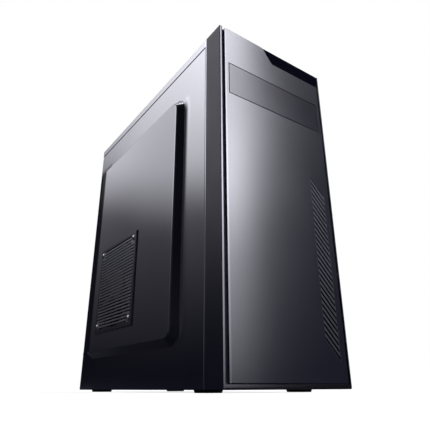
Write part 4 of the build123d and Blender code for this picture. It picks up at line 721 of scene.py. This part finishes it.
# ---- power supply -----------------------------------------------------------------------------------------
# Folded steel box in matt dark grey powder paint, screwed to the rear panel.
# A nickel-plated guard of bent wire covers its fan.
supply_grey = finish("supply_grey", (0.03, 0.03, 0.033), (0.05, 0.05, 0.055), 0.45, 0.6, relief=0.00002)
dress(supply_grey, "psu_case")
bright_nickel = finish("bright_nickel", (0.66, 0.66, 0.65), (0.78, 0.78, 0.77), 0.14, 0.24, relief=0.000002,
                       radius=0.0002, Metallic=1.0)
dress(bright_nickel, "psu_fan_guard")


# ---- motherboard ------------------------------------------------------------------------------------------
# Glass-fibre board under green solder mask, held by screws on brass standoffs.
# It carries moulded sockets and slots, memory modules, and heatsinks of bare extruded aluminium.
board_green = finish("board_green", (0.008, 0.05, 0.026), (0.02, 0.11, 0.06), 0.25, 0.4, grain=0.001,
                     relief=0.00001, cloud=0.03)
dress(board_green, "motherboard", "port_board", "memory_modules")
socket_blue = finish("socket_blue", (0.03, 0.04, 0.1), (0.05, 0.07, 0.16), 0.35, 0.5)
dress(socket_blue, "memory_slots", "expansion_slots", "board_sockets")
aluminium = finish("aluminium", (0.62, 0.63, 0.64), (0.74, 0.75, 0.76), 0.3, 0.42, grain=0.003, stretch=8.0,
                   relief=0.00001, Metallic=1.0)
dress(aluminium, "cpu_heatsink", "chipset_heatsink")
lid_nickel = finish("lid_nickel", (0.55, 0.55, 0.53), (0.64, 0.64, 0.62), 0.25, 0.35, Metallic=1.0)
dress(lid_nickel, "cpu_socket")
brass = finish("brass", (0.6, 0.45, 0.22), (0.75, 0.58, 0.3), 0.25, 0.4, Metallic=1.0)
dress(brass, "standoffs")
zinc_plate = finish("zinc_plate", (0.5, 0.5, 0.48), (0.66, 0.66, 0.64), 0.25, 0.4, Metallic=1.0)
dress(zinc_plate, "board_screws")


# ---- disk -------------------------------------------------------------------------------------------------
# 3.5 inch disk with a cast aluminium body under a pressed lid.
# Four screws through the drive cage hold it by its sides.
disk_cast = finish("disk_cast", (0.42, 0.43, 0.44), (0.52, 0.53, 0.54), 0.35, 0.5, relief=0.00002,
                   Metallic=1.0)
dress(disk_cast, "hard_drive")


# ---- leads ------------------------------------------------------------------------------------------------
# Supply loom, data lead and panel lead, copper wires in soft black sleeving.
# Each is held at both ends and runs inside the case.
sleeving = finish("sleeving", (0.01, 0.01, 0.011), (0.024, 0.024, 0.026), 0.5, 0.65, relief=0.00003)
dress(sleeving, "board_power_cable", "drive_cable", "panel_cable")


# ---- screws -----------------------------------------------------------------------------------------------
# Pressed steel screws with a cross recess: bright domed ones at the side vent's corners, and flatter
# zinc-plated ones that hold the rear fan, the supply, the slot covers and the disk.
def moved(tree, geometry, z):
    """Geometry moved along Z."""
    return add(tree, "GeometryNodeTransform", {
        "Geometry": geometry, "Translation": vector(tree, z=z)}).outputs[0]


def cylinder(tree, radius, length, sides):
    """Upright cylinder about the origin."""
    return add(tree, "GeometryNodeMeshCylinder", {
        "Vertices": sides, "Radius": radius, "Depth": length}).outputs["Mesh"]


def cut_by(tree, geometry, *cutters):
    """Geometry less the cutters."""
    cut = add(tree, "GeometryNodeMeshBoolean", {0: geometry}, operation="DIFFERENCE", solver="EXACT")
    for cutter in cutters:
        tree.links.new(cutter, cut.inputs[1])
    return cut.outputs[0]


def shank(tree, takes, sides):
    """A screw's shank, down from its seat."""
    length = takes["Shank Length"]
    return moved(tree, cylinder(tree, takes["Shank Radius"], length, sides), product(tree, length, -0.5))


def put_screws(tree, takes, gives, screw, twist=0.0):
    """Puts the screw at every point, turned along its facing, and by up to so much round itself."""
    facing = add(tree, "GeometryNodeInputNamedAttribute", {
        "Name": "facing"}, data_type="FLOAT_VECTOR").outputs[0]
    turned = add(tree, "FunctionNodeAlignRotationToVector", {"Vector": facing}, axis="Z").outputs[0]
    if twist:
        angle = add(tree, "FunctionNodeRandomValue", {
            "Min": (0.0, 0.0, 0.0), "Max": (0.0, 0.0, twist), "Seed": 7}, data_type="FLOAT_VECTOR").outputs[0]
        angle = add(tree, "FunctionNodeEulerToRotation", {0: angle}).outputs[0]
        turned = add(tree, "FunctionNodeRotateRotation", {
            0: turned, 1: angle}, rotation_space="LOCAL").outputs[0]
    placed = add(tree, "GeometryNodeInstanceOnPoints", {
        "Points": takes["Places"], "Instance": screw, "Rotation": turned}).outputs[0]
    real = add(tree, "GeometryNodeRealizeInstances", {0: placed}).outputs[0]
    done = add(tree, "GeometryNodeSetMaterial", {"Geometry": real, "Material": takes["Finish"]}).outputs[0]
    tree.links.new(done, gives["Screws"])


def screw_tree():
    """Geometry nodes that put a domed screw with a cross recess at every point."""
    number = "NodeSocketFloat"
    group, takes, gives = new_group("cross_screws", "GeometryNodeTree", [
        ("Places", "NodeSocketGeometry", None), ("Finish", "NodeSocketMaterial", None),
        ("Head Radius", number, 0.003), ("Head Height", number, 0.002), ("Recess Length", number, 0.003),
        ("Recess Width", number, 0.0007), ("Recess Depth", number, 0.001), ("Shank Radius", number, 0.0015),
        ("Shank Length", number, 0.004)], [("Screws", "NodeSocketGeometry")])

    def cube(x, y, z):
        return add(group, "GeometryNodeMeshCube", {"Size": vector(group, x, y, z)}).outputs[0]

    radius, high = takes["Head Radius"], takes["Head Height"]
    ball = add(group, "GeometryNodeMeshUVSphere", {"Segments": 40, "Rings": 24, "Radius": 1.0}).outputs[0]
    dome = add(group, "GeometryNodeTransform", {
        "Geometry": ball, "Scale": vector(group, radius, radius, high)}).outputs[0]
    wide = product(group, radius, 3.0)
    under = moved(group, cube(wide, wide, wide), product(group, wide, -0.5))
    middle = maths(group, "ADD", maths(group, "SUBTRACT", high, takes["Recess Depth"]), high)
    long, narrow, twice = takes["Recess Length"], takes["Recess Width"], product(group, high, 2.0)
    bars = [moved(group, cube(x, y, twice), middle) for x, y in ((long, narrow), (narrow, long))]
    head = cut_by(group, dome, under, *bars)
    put_screws(group, takes, gives, joined(group, head, shank(group, takes, 20)), twist=1.5)
    return group


def screw_places(node):
    """Where a CAD node's screws stand: for each, the middle of the head's seat and the way the head faces."""
    copy = bmesh.new()
    copy.from_mesh(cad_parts[node].data)
    bmesh.ops.remove_doubles(copy, verts=copy.verts, dist=1e-6)
    left, found = set(copy.verts), []
    while left:
        island, queue = set(), [left.pop()]
        while queue:
            vert = queue.pop()
            island.add(vert)
            for edge in vert.link_edges:
                other = edge.other_vert(vert)
                if other in left:
                    left.discard(other)
                    queue.append(other)
        low = Vector([min(v.co[i] for v in island) for i in range(3)])
        high = Vector([max(v.co[i] for v in island) for i in range(3)])
        span, middle = high - low, (low + high) / 2
        along = min(range(3), key=lambda i: abs(span[i - 1] - span[i - 2]))

        def reach(vert):
            off = vert.co - middle
            off[along] = 0.0
            return off.length

        widest = max(reach(v) for v in island)
        rim = [v.co[along] for v in island if reach(v) > 0.9 * widest]
        facing = Vector()
        facing[along] = 1.0 if sum(rim) / len(rim) > middle[along] else -1.0
        seat = middle.copy()
        seat[along] = min(rim) if facing[along] > 0 else max(rim)
        found.append((seat, facing))
    copy.free()
    return sorted(found, key=lambda place: tuple(round(c, 5) for c in place[0]))


screws = screw_tree()
vent_nickel = finish("vent_nickel", (0.2, 0.2, 0.21), (0.26, 0.26, 0.27), 0.14, 0.2, relief=0.000001,
                     radius=0.0003, Metallic=1.0)
zinc_head = {"Head_Radius": 0.003, "Head_Height": 0.0018, "Recess_Length": 0.003, "Recess_Width": 0.0008,
             "Recess_Depth": 0.0012}
made_by(screws, "vent_screw_heads", screw_places("grille_screws"), "left_side", "nickel", vent_nickel,
        ["grille_screws"], Head_Radius=0.0036, Head_Height=0.002, Recess_Length=0.0034, Recess_Width=0.0008,
        Recess_Depth=0.0012, Shank_Radius=0.0016, Shank_Length=0.005)
made_by(screws, "case_screw_heads", screw_places("case_screws"), "chassis", "zinc_screw", zinc_plate,
        ["case_screws"], Shank_Radius=0.0014, Shank_Length=0.004, **zinc_head)
made_by(screws, "rear_fan_screw_heads", screw_places("rear_fan_screws"), "chassis", "zinc_screw", zinc_plate,
        ["rear_fan_screws"], Shank_Radius=0.0015, Shank_Length=0.009, **zinc_head)


# ---- thumbscrews ------------------------------------------------------------------------------------------
# Two to each side panel, turned by hand: a straight-knurled head with a dished face and a shank.
# Turned from steel and nickel-plated, they go through the panel's rear flange into the chassis.
def thumbscrew_tree():
    """Geometry nodes that put a knurled thumbscrew at every point."""
    number = "NodeSocketFloat"
    group, takes, gives = new_group("knurled_screws", "GeometryNodeTree", [
        ("Places", "NodeSocketGeometry", None), ("Finish", "NodeSocketMaterial", None),
        ("Head Radius", number, 0.005), ("Head Length", number, 0.0075), ("Knurl Depth", number, 0.0003),
        ("Chamfer", number, 0.0006), ("Dish Radius", number, 0.0028), ("Dish Depth", number, 0.0015),
        ("Shank Radius", number, 0.0016), ("Shank Length", number, 0.006)],
        [("Screws", "NodeSocketGeometry")])
    chamfer, length = takes["Chamfer"], takes["Head Length"]
    inner = maths(group, "SUBTRACT", takes["Head Radius"], takes["Knurl Depth"])
    straight = maths(group, "SUBTRACT", length, chamfer)
    star = add(group, "GeometryNodeCurveStar", {
        "Points": 32, "Inner Radius": inner, "Outer Radius": takes["Head Radius"]}).outputs[0]
    face = add(group, "GeometryNodeFillCurve", {0: star}, mode="NGONS").outputs[0]
    seat = add(group, "GeometryNodeFlipFaces", {0: face}).outputs[0]
    knurled = add(group, "GeometryNodeExtrudeMesh", {
        "Mesh": face, "Offset Scale": straight, "Individual": False}).outputs[0]
    cone = add(group, "GeometryNodeMeshCone", {
        "Vertices": 48, "Radius Top": maths(group, "SUBTRACT", inner, chamfer), "Radius Bottom": inner,
        "Depth": chamfer}).outputs["Mesh"]
    dish = moved(group, cylinder(group, takes["Dish Radius"], takes["Dish Depth"], 40), length)
    top = cut_by(group, moved(group, cone, straight), dish)
    put_screws(group, takes, gives, joined(group, knurled, seat, top, shank(group, takes, 24)))
    return group


thumbscrews = thumbscrew_tree()
for body, node in (("left_side", "left_thumbscrews"), ("right_side", "right_thumbscrews")):
    name = node.replace("screws", "screw_heads")
    made_by(thumbscrews, name, screw_places(node), body, "nickel", bright_nickel, [node], Head_Radius=0.005,
            Head_Length=0.007, Shank_Radius=0.0016, Shank_Length=0.006)
dress(bright_nickel, "left_thumbscrews", "right_thumbscrews", "grille_screws")
dress(zinc_plate, "case_screws", "rear_fan_screws")
